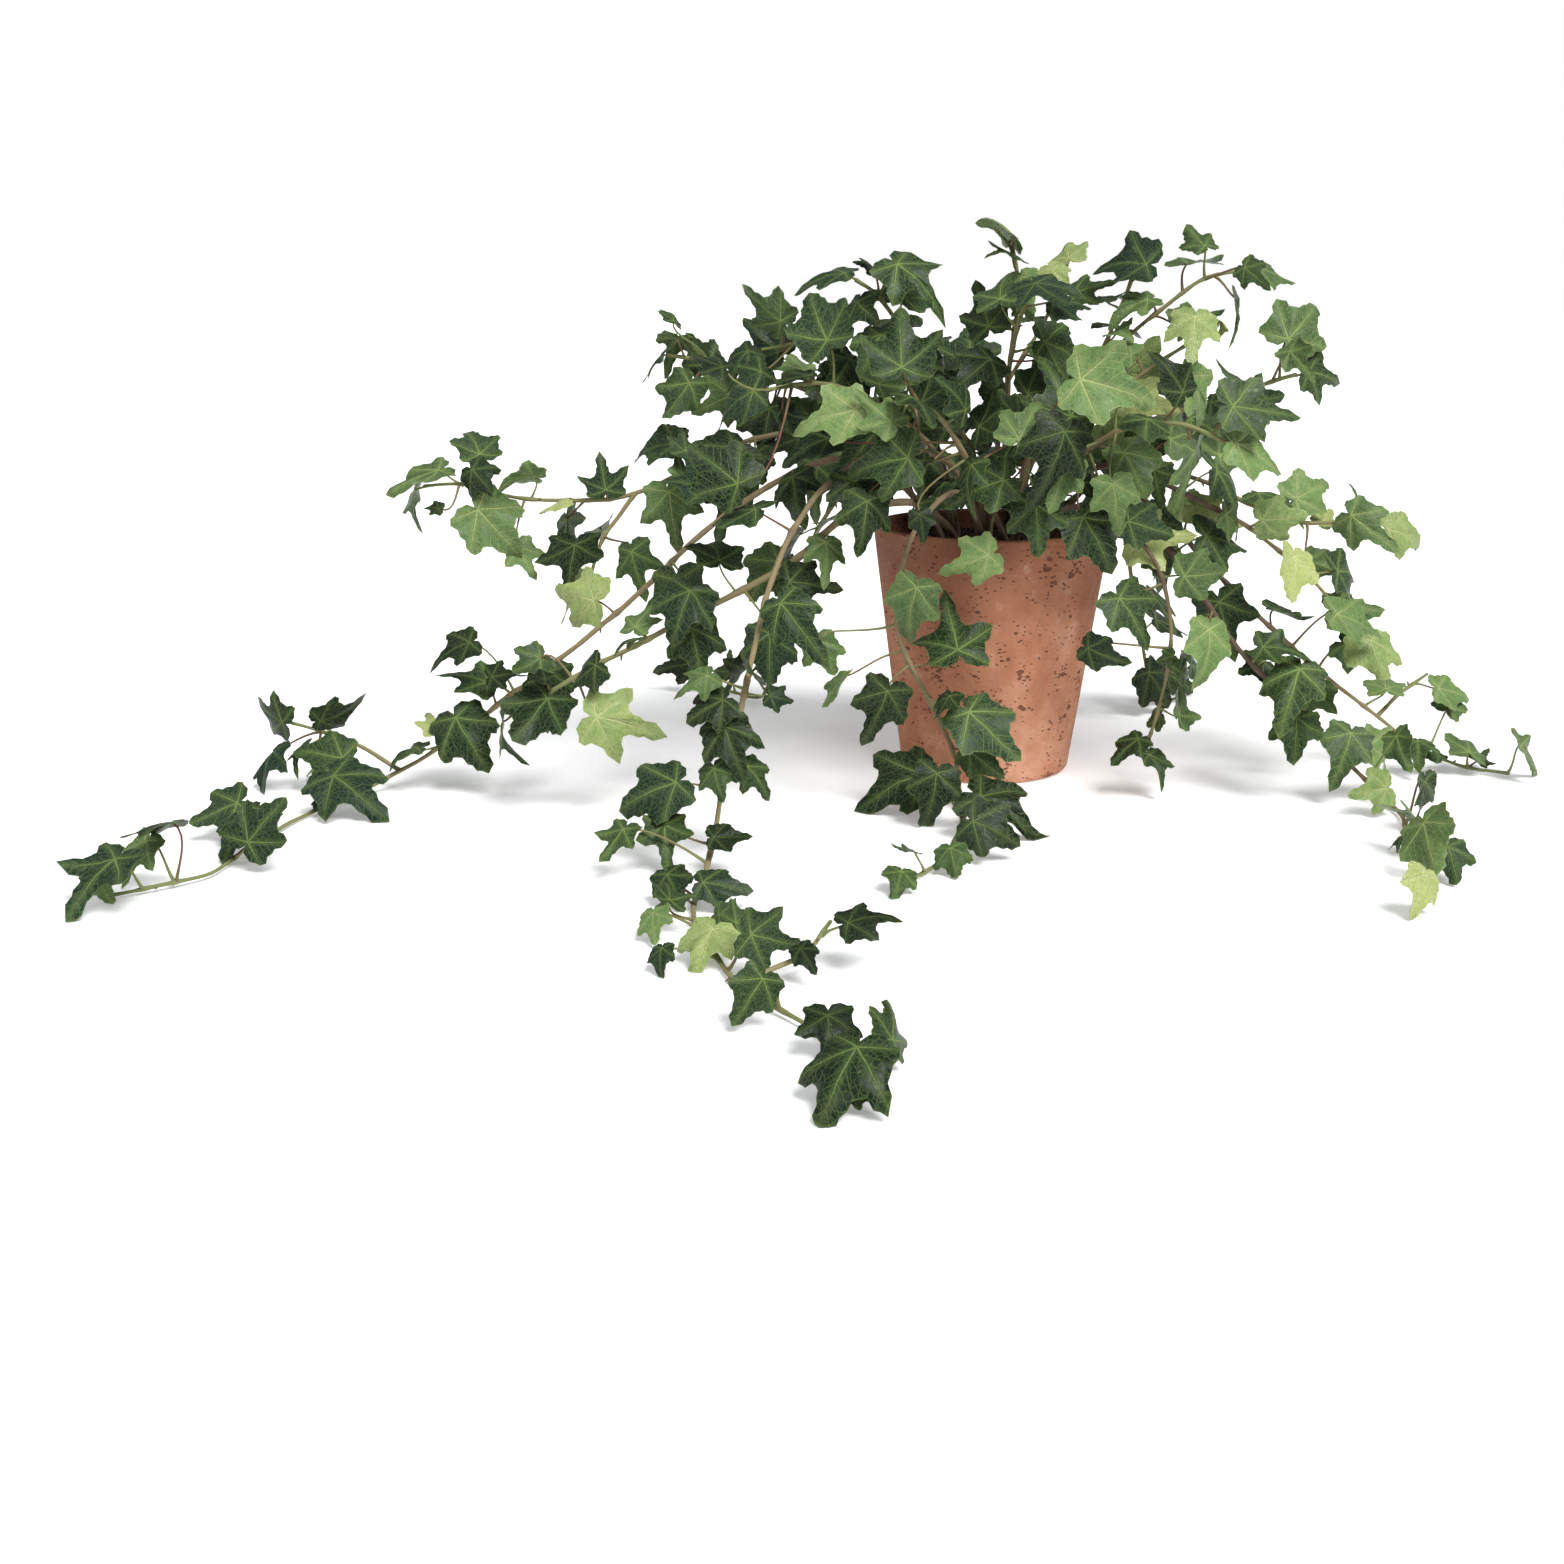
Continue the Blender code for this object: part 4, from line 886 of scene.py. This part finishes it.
def first_free(rng, point, ahead, side, length, taken):
    for attempt in range(attempts):
        spread = 1.0 + 0.15 * attempt
        size = length * 0.955 ** attempt
        leaf = posed_leaf(rng, point, ahead, side, size, spread)
        guards = leaf_guards(leaf)
        if held_from_behind(leaf) and free(guards, taken):
            taken += guards
            return leaf
    return None


def turned(profile, sides):
    """Rings of a turned body through (radius, height) points; radius 0 is its middle."""
    rings = []
    for radius, height in profile:
        turns = [math.tau * k / sides for k in range(sides if radius else 1)]
        rings.append([Vector((radius * math.cos(a), radius * math.sin(a), height))
                      for a in turns])
    return rings


def stem_guards(line, radii):
    """Guards along a stem, a few rings at a time."""
    guards = []
    for i in range(0, len(line) - 1, 3):
        wide = [radius + clearance for radius in radii[i:i + 4]]
        guards.append(guard(tube(line[i:i + 4], wide, stem_sides)))
    return guards


pot_space = turned([(0, -clearance), (foot_radius + 2 * clearance, -clearance),
                    (rim_radius + 2 * clearance, pot_height + clearance),
                    (0, soil_edge + soil_crown)], 40)
vine_curves = {name: stem_curves(vine) for name, vine in vines.items()}
taken = [guard(pot_space)]
for curves in vine_curves.values():
    for line, radii in curves:
        taken += stem_guards(line, radii)
rng = random.Random(seed)
vine_leaves = {}
for name, curves in vine_curves.items():
    places = [Held(*metres((x, y, z)), turn, lean, metres(length))
              for x, y, z, turn, lean, length in held_places.get(name, ())]
    vine_leaves[name] = held_leaves(rng, curves, places, taken)
for name, vine in vines.items():
    vine_leaves[name] += grown_leaves(rng, vine, vine_curves[name], taken)


# ---- The stems -------------------------------------------------------------------------
# Round shoots, brown and woody where they leave the soil and olive green at their tips.
# They swell where a leaf stalk leaves them, and dry stubs stay where old leaves fell off.
# Each thin stalk bends up behind its blade. A stem and its stalks are skinned in one go.

swell_reach = 0.0030
drawn_thicker = 1.2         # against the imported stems
stalk_rings = 8
off_ground = 0.0001


def wandering(point):
    """A small sideways drift, so that no stem is drawn with a ruler."""
    return Vector((noise.noise(point * 34), noise.noise(point * 34 + Vector((5, 0, 0))),
                   noise.noise(point * 34 + Vector((0, 9, 0)))))


def nearest(point, feet):
    return min(((point - foot).length for foot in feet), default=1.0)


def stem_tube(line, radii, feet, whole):
    """Rings of one stem and how woody each ring is."""
    fine = smooth(line, 0.0042)
    rings_radii, wood = [], []
    for i in range(len(fine)):
        share = i / (len(fine) - 1)
        radius = drawn_thicker * (radii[0] + (radii[-1] - radii[0]) * share)
        swell = math.exp(-(nearest(fine[i], feet) / swell_reach) ** 2)
        radius *= 1 + 0.38 * swell + 0.16 * noise.noise(fine[i] * 160)
        rings_radii.append(radius)
        wood.append(whole * (1 - share) + 0.10 * swell)
    fine = [point + wandering(point) * 0.0011 * min(1, 4 * i / len(fine))
            for i, point in enumerate(fine)]
    for point, radius in zip(fine, rings_radii):
        point.z = max(point.z, radius + off_ground)
    rings = tube(fine, rings_radii, 8)
    rings.append([fine[-1] + (fine[-1] - fine[-2]).normalized() * rings_radii[-1]])
    return rings, wood + [wood[-1]]


def stalk_tube(leaf, bend):
    """Rings of a leaf stalk, which leaves its stem thick and bends up into its blade."""
    reach = (leaf.base - leaf.foot).length
    way = (leaf.base - leaf.foot) / reach
    bottom = leaf.base - leaf.face * 0.0003
    first = leaf.foot + way * reach * 0.35 + bend * reach * 0.10
    second = bottom - (leaf.along * 0.22 + leaf.face * 0.20 - bend * 0.06) * reach
    line, radii = [], []
    for i in range(stalk_rings):
        t = i / (stalk_rings - 1)
        u = 1 - t
        point = (leaf.foot * u ** 3 + first * 3 * u * u * t
                 + second * 3 * u * t * t + bottom * t ** 3)
        radii.append(0.00062 + 0.00055 * u ** 4)
        point.z = max(point.z, radii[-1] + off_ground)
        line.append(point)
    return tube(line, radii, 6)


def stub_tube(point, ahead, rng):
    """Rings of the dry stub of an old leaf stalk."""
    aside = some_way(rng)
    aside = (aside - ahead * aside.dot(ahead)).normalized() * 0.9 + ahead * 0.5
    length = rng.uniform(0.0022, 0.0050)
    line = [point, point + aside * length * 0.6, point + aside * length]
    return tube(line, [0.0010, 0.0007, 0.0003], 5)


def new_piece(name, points, faces, tag, colours):
    """A mesh object, taken up to work on, with a tagged colour for each of its points."""
    mesh = bpy.data.meshes.new(name)
    mesh.from_pydata(points, [], faces)
    tags = mesh.color_attributes.new(tag, "FLOAT_COLOR", "POINT")
    tags.data.foreach_set("color", [part for colour in colours for part in (*colour, 1.0)])
    piece = bpy.data.objects.new(name, mesh)
    scene.collection.objects.link(piece)
    take(piece)
    return piece


def skin_piece(name, parts):
    """One mesh object from (rings, colours per ring) parts; the colours go with its points."""
    points, faces, colours = [], [], []
    for rings, ring_colours in parts:
        corners, sides = skinned(rings)
        first = len(points)
        points += corners
        faces += [tuple(first + number for number in side) for side in sides]
        for ring, colour in zip(rings, ring_colours):
            colours += [colour] * len(ring)
    piece = new_piece(name, points, faces, "growth", colours)
    bpy.ops.object.mode_set(mode="EDIT")
    bpy.ops.mesh.select_all(action="SELECT")
    bpy.ops.mesh.normals_make_consistent(inside=False)
    bpy.ops.object.mode_set(mode="OBJECT")
    bpy.ops.object.shade_smooth_by_angle(angle=math.radians(60))
    return piece


ivy_bark = Finish("ivy_bark", Specular_IOR_Level=0.35)
spot = ivy_bark.place()
growth = ivy_bark.node("Attribute", {"attribute_name": "growth"}, {}, "Color")
woody = ivy_bark.part(growth, "Red")
stalky = ivy_bark.part(growth, "Green")
chance = ivy_bark.part(growth, "Blue")
mottle = ivy_bark.cloud(spot, 0.0060, 4.0, 0.65)
fleck = ivy_bark.cloud(spot, 0.0011, 2.0, 0.6)
bark = ivy_bark.ramp(woody + (mottle - 0.5) * 0.6, (0.05, (0.170, 0.200, 0.070)),
                     (0.35, (0.230, 0.200, 0.090)), (0.65, (0.240, 0.185, 0.095)),
                     (1.0, (0.110, 0.072, 0.048)))
stalk = ivy_bark.ramp(chance * 0.7 + mottle * 0.4, (0.30, (0.190, 0.240, 0.080)),
                      (0.55, (0.200, 0.135, 0.060)), (0.80, (0.150, 0.052, 0.036)))
bark = ivy_bark.blend(stalky, bark, stalk)
bark = ivy_bark.blend(fleck.between(0.55, 0.75) * 0.4, bark, (0.26, 0.21, 0.14))
ivy_bark.feed("Base Color", bark)
ivy_bark.feed("Roughness", 0.62 + fleck * 0.25)
ivy_bark.bumped(fleck * 0.5 + mottle * 0.5, 0.0003)

stub_chance = 0.40
old_wood = 1.7              # how woody the right-hand stems are, against 1 for the others
fork_wood = 0.55
stub_rng = random.Random(5)
for name, curves in vine_curves.items():
    feet = [leaf.foot for leaf in vine_leaves[name]]
    parts = []
    for number, (line, radii) in enumerate(curves):
        main_wood = old_wood if name.startswith("right") else 1.0
        rings, wood = stem_tube(line, radii, feet, fork_wood if number else main_wood)
        parts.append((rings, [(share, 0.0, 0.5) for share in wood]))
        for i in range(2, len(line) - 1):
            if stub_rng.random() < stub_chance:
                ahead = (line[i + 1] - line[i]).normalized()
                place = line[i] + (line[i + 1] - line[i]) * stub_rng.random()
                stub = stub_tube(place, ahead, stub_rng)
                if min(point.z for ring in stub for point in ring) > 0:
                    parts.append((stub, [(0.8, 0.0, 0.5), (0.9, 0.0, 0.5), (1.0, 0.0, 0.5)]))
    for leaf in vine_leaves[name]:
        rings = stalk_tube(leaf, some_way(stub_rng))
        tint = stub_rng.random()
        shades = [(0.1, min(1.0, 0.4 + 0.2 * i), tint) for i in range(stalk_rings)]
        parts.append((rings, shades))
    settled(skin_piece(name + "_stem", parts), name + "_stem", name, "ivy_stem", ivy_bark)

# ---- The leaves ------------------------------------------------------------------------
# Leathery five-lobed blades about 0.4 mm thick: glossy dark green with pale sunken veins on
# their faces, dull grey green behind, lighter and brighter where they are young, and brighter
# still on the vines at the right as painted light. A blade is cut once as a round disc, and
# each copy gets one of five outlines and its own curl.

# Points on each part of half an outline, from the tip to the first hollow, to the side
# lobe's point, to the second hollow, to the back lobe's point and to the stalk.
half_steps = (6, 4, 4, 3, 5)
marks = [sum(half_steps[:part]) for part in range(len(half_steps) + 1)]
tips = marks[::2]           # the marks that end a vein
rim_points = 2 * marks[-1]
blade_thin = 0.0004
blade_low = 0.0006          # the lowest that a face may lie

bpy.ops.object.select_all(action="DESELECT")
bpy.ops.mesh.primitive_circle_add(vertices=rim_points, radius=1.0, fill_type="NGON")
disc = bpy.context.object
bpy.ops.object.mode_set(mode="EDIT")
bpy.ops.mesh.select_all(action="SELECT")
bpy.ops.mesh.inset(thickness=0.30)
bpy.ops.mesh.inset(thickness=0.34)
bpy.ops.mesh.poke()
bpy.ops.object.mode_set(mode="OBJECT")
backing = disc.modifiers.new("thickness", "SOLIDIFY")
backing.thickness = 1.0
backing.offset = -1.0
backing.material_offset = 1
bpy.ops.object.modifier_apply(modifier=backing.name)

# Half an outline from the tip to the notch at the stalk: the lobes' points and the hollows
# between them, sideways and ahead of the stalk in shares of the blade's length.
blade_outlines = {
    "broad": ((0, 1.00), (0.290, 0.510), (0.600, 0.490), (0.500, 0.120), (0.440, -0.205),
              (0, -0.080)),
    "long": ((0, 1.06), (0.240, 0.480), (0.530, 0.460), (0.445, 0.110), (0.400, -0.190),
             (0, -0.090)),
    "deep": ((0, 1.04), (0.215, 0.450), (0.600, 0.430), (0.430, 0.080), (0.430, -0.215),
             (0, -0.100)),
    "short": ((0, 0.96), (0.330, 0.545), (0.570, 0.500), (0.525, 0.150), (0.430, -0.200),
              (0, -0.070)),
    "young": ((0, 1.00), (0.290, 0.510), (0.480, 0.400), (0.435, 0.120), (0.340, -0.180),
              (0, -0.080)),
}


def blade_outline(places, rng):
    """Both halves of an outline as points (side, ahead), clockwise from the tip."""
    half = []
    for part, (start, end) in enumerate(zip(places, places[1:])):
        start, end = Vector(start), Vector(end)
        length = (end - start).length
        outward = Vector((start.y - end.y, end.x - start.x)) / length
        if outward.dot(start + end) < 0:
            outward = -outward
        for i in range(half_steps[part]):
            t = i / half_steps[part]
            if part == 4:
                swell = 0.24 * math.sin(math.pi * t) - 0.05 * math.sin(math.tau * t)
            elif part % 2 == 0:
                swell = 0.060 * math.sin(math.tau * t ** 0.8) + 0.050 * math.sin(math.pi * t)
            else:
                swell = 0.060 * math.sin(math.pi * t) - 0.055 * math.sin(math.tau * t ** 1.2)
            tooth = 0.016 * (-1) ** i if 0 < i < half_steps[part] else 0.0
            half.append(start + (end - start) * t + outward * (length * swell + tooth))
    half.append(Vector(places[-1]))
    right = [point * (1 + rng.uniform(-0.025, 0.025)) for point in half]
    left = [Vector((-point.x, point.y)) * (1 + rng.uniform(-0.025, 0.025)) for point in half]
    return right + left[-2:0:-1]


shape_rng = random.Random(21)
outlines = [blade_outline(places, shape_rng) for places in blade_outlines.values()]

# Each corner of the disc as its place round the outline, its reach and its depth.
disc_corners = []
for corner in disc.data.vertices:
    turn = math.atan2(corner.co.x, corner.co.y) % math.tau
    around = round(turn / math.tau * rim_points) % rim_points
    disc_corners.append((around, corner.co.xy.length, -corner.co.z))
disc_faces = [tuple(face.vertices) for face in disc.data.polygons]
disc_sides = [face.material_index for face in disc.data.polygons]
bpy.data.objects.remove(disc)


def from_vein(around):
    """0 on a vein and 1 half way to the next one, at a place round the outline."""
    around = min(around, rim_points - around)
    for low, high in zip(marks, marks[1:]):
        if around <= high:
            share = (around - low) / (high - low)
            return share if low in tips else 1 - share
    return 1.0


crease = [from_vein(around) for around, _, _ in disc_corners]


def curled(leaf, outline, curl, amount):
    """The corners of one blade, bent into its own shape, and their flat places."""
    points, flats = [], []
    cup, arch, twist, ripple, phase, lobes, wide = curl
    for (around, reach, depth), hollow in zip(disc_corners, crease):
        side = outline[around].x * reach * wide
        ahead = outline[around].y * reach
        far = math.hypot(side, ahead)
        turn = math.atan2(side, ahead)
        rise = cup * side * side + arch * ahead * abs(ahead) + twist * side * ahead
        rise += ripple * far * far * math.sin(7 * turn + phase)
        for angle, lift in lobes:
            gap = abs((turn - angle + math.pi) % math.tau - math.pi)
            rise += lift * max(0.0, far - 0.35) ** 2 * math.exp(-(gap / 0.35) ** 2)
        rise = rise * amount + 0.050 * hollow * reach * (1.25 - reach)
        point = blade_point(leaf, side, ahead, leaf.length * rise - depth * blade_thin)
        point.z = max(point.z, blade_low - blade_thin * depth)
        points.append(point)
        flats.append((side, ahead))
    return points, flats


def some_curl(rng):
    lobes = [(math.radians(angle), rng.uniform(-0.75, 0.50))
             for angle in (0, 53, -53, 114, -114)]
    return (rng.uniform(-0.35, 0.75), rng.uniform(-0.30, 0.12), rng.uniform(-0.40, 0.40),
            rng.uniform(0.05, 0.14), rng.uniform(0, math.tau), lobes,
            rng.uniform(0.90, 1.06))


def veined(finish):
    """How strong the main and the side veins are, in the blade's own flat places."""
    flat = finish.node("UVMap", {"uv_map": "blade"}, {})
    tone = finish.node("Attribute", {"attribute_name": "leaf"}, {}, "Color")
    chance = finish.part(tone, "Green")
    shift = finish.node("CombineXYZ", {}, {0: chance * 9, 1: chance * 5, 2: chance * 3})
    moved = finish.node("VectorMath", {"operation": "ADD"}, {0: flat, 1: shift})
    sway = finish.cloud(moved, 0.42, 1.0) - 0.5
    side = finish.part(flat, "X")
    ahead = finish.part(flat, "Y") + sway * 0.05
    side = abs(side + sway * 0.06)
    mains, offs, branches = [], [], []
    for degrees, length, gaps in ((0, 1.0, 6.5), (53, 0.82, 7.5), (114, 0.54, 8.5)):
        sine, cosine = math.sin(math.radians(degrees)), math.cos(math.radians(degrees))
        along = side * sine + ahead * cosine
        off = abs(side * cosine - ahead * sine).most(-0.8 * along)
        width = (1.12 - along / length).most(0.22) * 0.0145
        mains.append(1 - (off / width).between(0.5, 1.5))
        offs.append(off)
        ridge = abs(((along - off * 0.95 + sway * 0.10) * gaps).fraction() - 0.5) * 2
        branches.append(ridge.between(0.80, 0.99))
    main = mains[0].most(mains[1]).most(mains[2])
    first = offs[0].below(offs[1].least(offs[2]))
    second = offs[1].below(offs[0].least(offs[2]))
    branch = (branches[0] * first + branches[1] * second
              + branches[2] * (1 - first - second))
    closest = offs[0].least(offs[1]).least(offs[2])
    return main, branch, closest, moved, tone


ivy_face = Finish("ivy_leaf_face", Specular_IOR_Level=0.18)
main, branch, closest, moved, tone = veined(ivy_face)
age = ivy_face.part(tone, "Red")
chance = ivy_face.part(tone, "Green")
edge = ivy_face.part(tone, "Blue")
blotch = ivy_face.cloud(moved, 0.30, 4.0, 0.6)
mesh_of_veins = ivy_face.specks(moved, 0.075)
cells = ivy_face.node("TexVoronoi", {"feature": "DISTANCE_TO_EDGE"},
                      {"Vector": moved, "Scale": 15.0}, "Distance")
web = 1 - cells.between(0.01, 0.10)
green = ivy_face.ramp(age + (blotch - 0.5) * 0.34, (0.0, (0.003, 0.008, 0.003)),
                      (0.25, (0.006, 0.017, 0.007)), (0.50, (0.032, 0.062, 0.024)),
                      (0.75, (0.135, 0.230, 0.070)), (1.0, (0.360, 0.420, 0.140)))
cool = (chance * 7.3).fraction().between(0.55, 1.0) * (1 - age) * 0.55
green = ivy_face.blend(cool, green, (0.012, 0.034, 0.026))
pale = ivy_face.ramp(age, (0.0, (0.085, 0.130, 0.038)), (0.5, (0.220, 0.310, 0.085)),
                     (1.0, (0.540, 0.570, 0.270)))
halo = (1 - closest.between(0.0, 0.100)) * 0.26
green = ivy_face.blend(halo, green, pale)
green = ivy_face.blend((1 - mesh_of_veins.between(0.0, 0.55)) * 0.30, green,
                       (0.008, 0.022, 0.006))
green = ivy_face.blend(main * 0.80, green, pale)
green = ivy_face.blend((branch * 0.42).most(web * 0.26) * (1 - main), green, pale)
green = ivy_face.blend(edge.between(0.955, 1.0) * 0.30, green, pale)
ivy_face.feed("Base Color", green)
ivy_face.feed("Roughness", 0.28 + blotch * 0.18 + main * 0.10)
relief = (1 - main * 0.9 - branch * 0.45 - web * 0.25 - mesh_of_veins * 0.12
          + blotch * 0.15)
ivy_face.bumped(relief, 0.00055, 0.9)

ivy_back = Finish("ivy_leaf_back", Specular_IOR_Level=0.15)
main, branch, closest, moved, tone = veined(ivy_back)
age = ivy_back.part(tone, "Red")
dull = ivy_back.ramp(age + (ivy_back.cloud(moved, 0.3) - 0.5) * 0.2,
                     (0.0, (0.085, 0.120, 0.065)), (0.5, (0.130, 0.185, 0.080)),
                     (1.0, (0.330, 0.380, 0.150)))
dull = ivy_back.blend(main * 0.7 + branch * 0.25 * (1 - main), dull, (0.330, 0.370, 0.190))
ivy_back.feed("Base Color", dull)
ivy_back.feed("Roughness", 0.62 + branch * 0.10)
ivy_back.bumped(main * 0.9 + branch * 0.4, 0.0006, 0.9)

# How bright the leaves of a vine are, 0 to 1, where they differ from the rest: young leaves
# are paler, and the vines on the right are made brighter as painted light from that side.
old_tone = 0.24
tone_spread = 0.18
pale_chance = 0.08          # now and then a leaf is much paler than the rest
paler = 0.42
youth_and_painted_light = {"bright_sprig": 0.72, "top_right_sprig": 0.42, "top_centre_sprig": 0.45,
         "right_drooping_vine": 0.56, "right_upper_sprig": 0.50, "right_long_vine": 0.56,
         "right_low_vine": 0.50, "right_middle_vine": 0.54, "right_hanging_vine": 0.44,
         "left_upper_vine": 0.36, "left_back_sprig": 0.42, "front_vine": 0.26}

# Leaves whose colour stands out from their neighbours': the place, in millimetres, then
# the tone.
same_place = 0.011          # how near, in metres, a leaf is to one of them
marked_leaves = (
    (-8, -88, 150, 0.76), (-335, 22, 164, 0.66), (-360, 22, 192, 0.56), (114, -42, 291, 0.86),
    (42, 34, 328, 0.9), (153, -8, 320, 0.6), (93, 0, 322, 0.16), (125, -8, 332, 0.5),
    (190, 20, 268, 0.58), (312, -34, 16, 0.58), (-163, -356, 10, 0.88), (-106, -504, 7, 0.4),
    (-199, -326, 4, 0.72), (-98, -108, 84, 0.66), (-50, -110, 19, 0.12), (-43, -225, 4, 0.52),
    (-73, -258, 4, 0.5), (59, -98, 197, 0.62), (32, -98, 210, 0.58), (-65, -20, 321, 0.34),
    (-340, -69, 48, 0.24), (44, -90, 176, 0.18))
curl_rng = random.Random(13)
lying = []
for name, leaves in vine_leaves.items():
    points, faces, sides, flats, tones = [], [], [], [], []
    for leaf in leaves:
        outline = outlines[curl_rng.randrange(len(outlines))]
        curl = some_curl(curl_rng)
        # A blade that would cut through another one is curled less.
        for amount in (1.0, 0.6, 0.25, 0.0):
            blade, flat = curled(leaf, outline, curl, amount)
            reach = leaf.length * 1.1
            tree = BVHTree.FromPolygons(blade, disc_faces)
            near = [other for middle, far, other in lying
                    if (middle - leaf.base).length < reach + far]
            if not any(tree.overlap(other) for other in near):
                break
        lying.append((leaf.base, reach, tree))
        first = len(points)
        points += blade
        flats += flat
        faces += [tuple(first + corner for corner in face) for face in disc_faces]
        sides += disc_sides
        # The vines on the right get a brighter tone here as painted light.
        bright = youth_and_painted_light.get(name, old_tone) + curl_rng.gauss(0, tone_spread)
        if curl_rng.random() < pale_chance:
            bright += paler
        for *place, tone in marked_leaves:
            if (leaf.base - Vector(metres(tuple(place)))).length < same_place:
                bright = tone
        chance = curl_rng.random()
        for _, far, _ in disc_corners:
            tones.append((min(1.0, max(0.0, bright)), chance, far))
    piece = new_piece(name + "_leaves", points, faces, "leaf", tones)
    piece.data.polygons.foreach_set("material_index", sides)
    layer = piece.data.uv_layers.new(name="blade")
    for loop, place in zip(piece.data.loops, layer.data):
        place.uv = flats[loop.vertex_index]
    bpy.ops.object.shade_smooth_by_angle(angle=math.radians(65))
    settled(piece, name + "_leaves", name, "ivy_leaf", ivy_face, ivy_back)
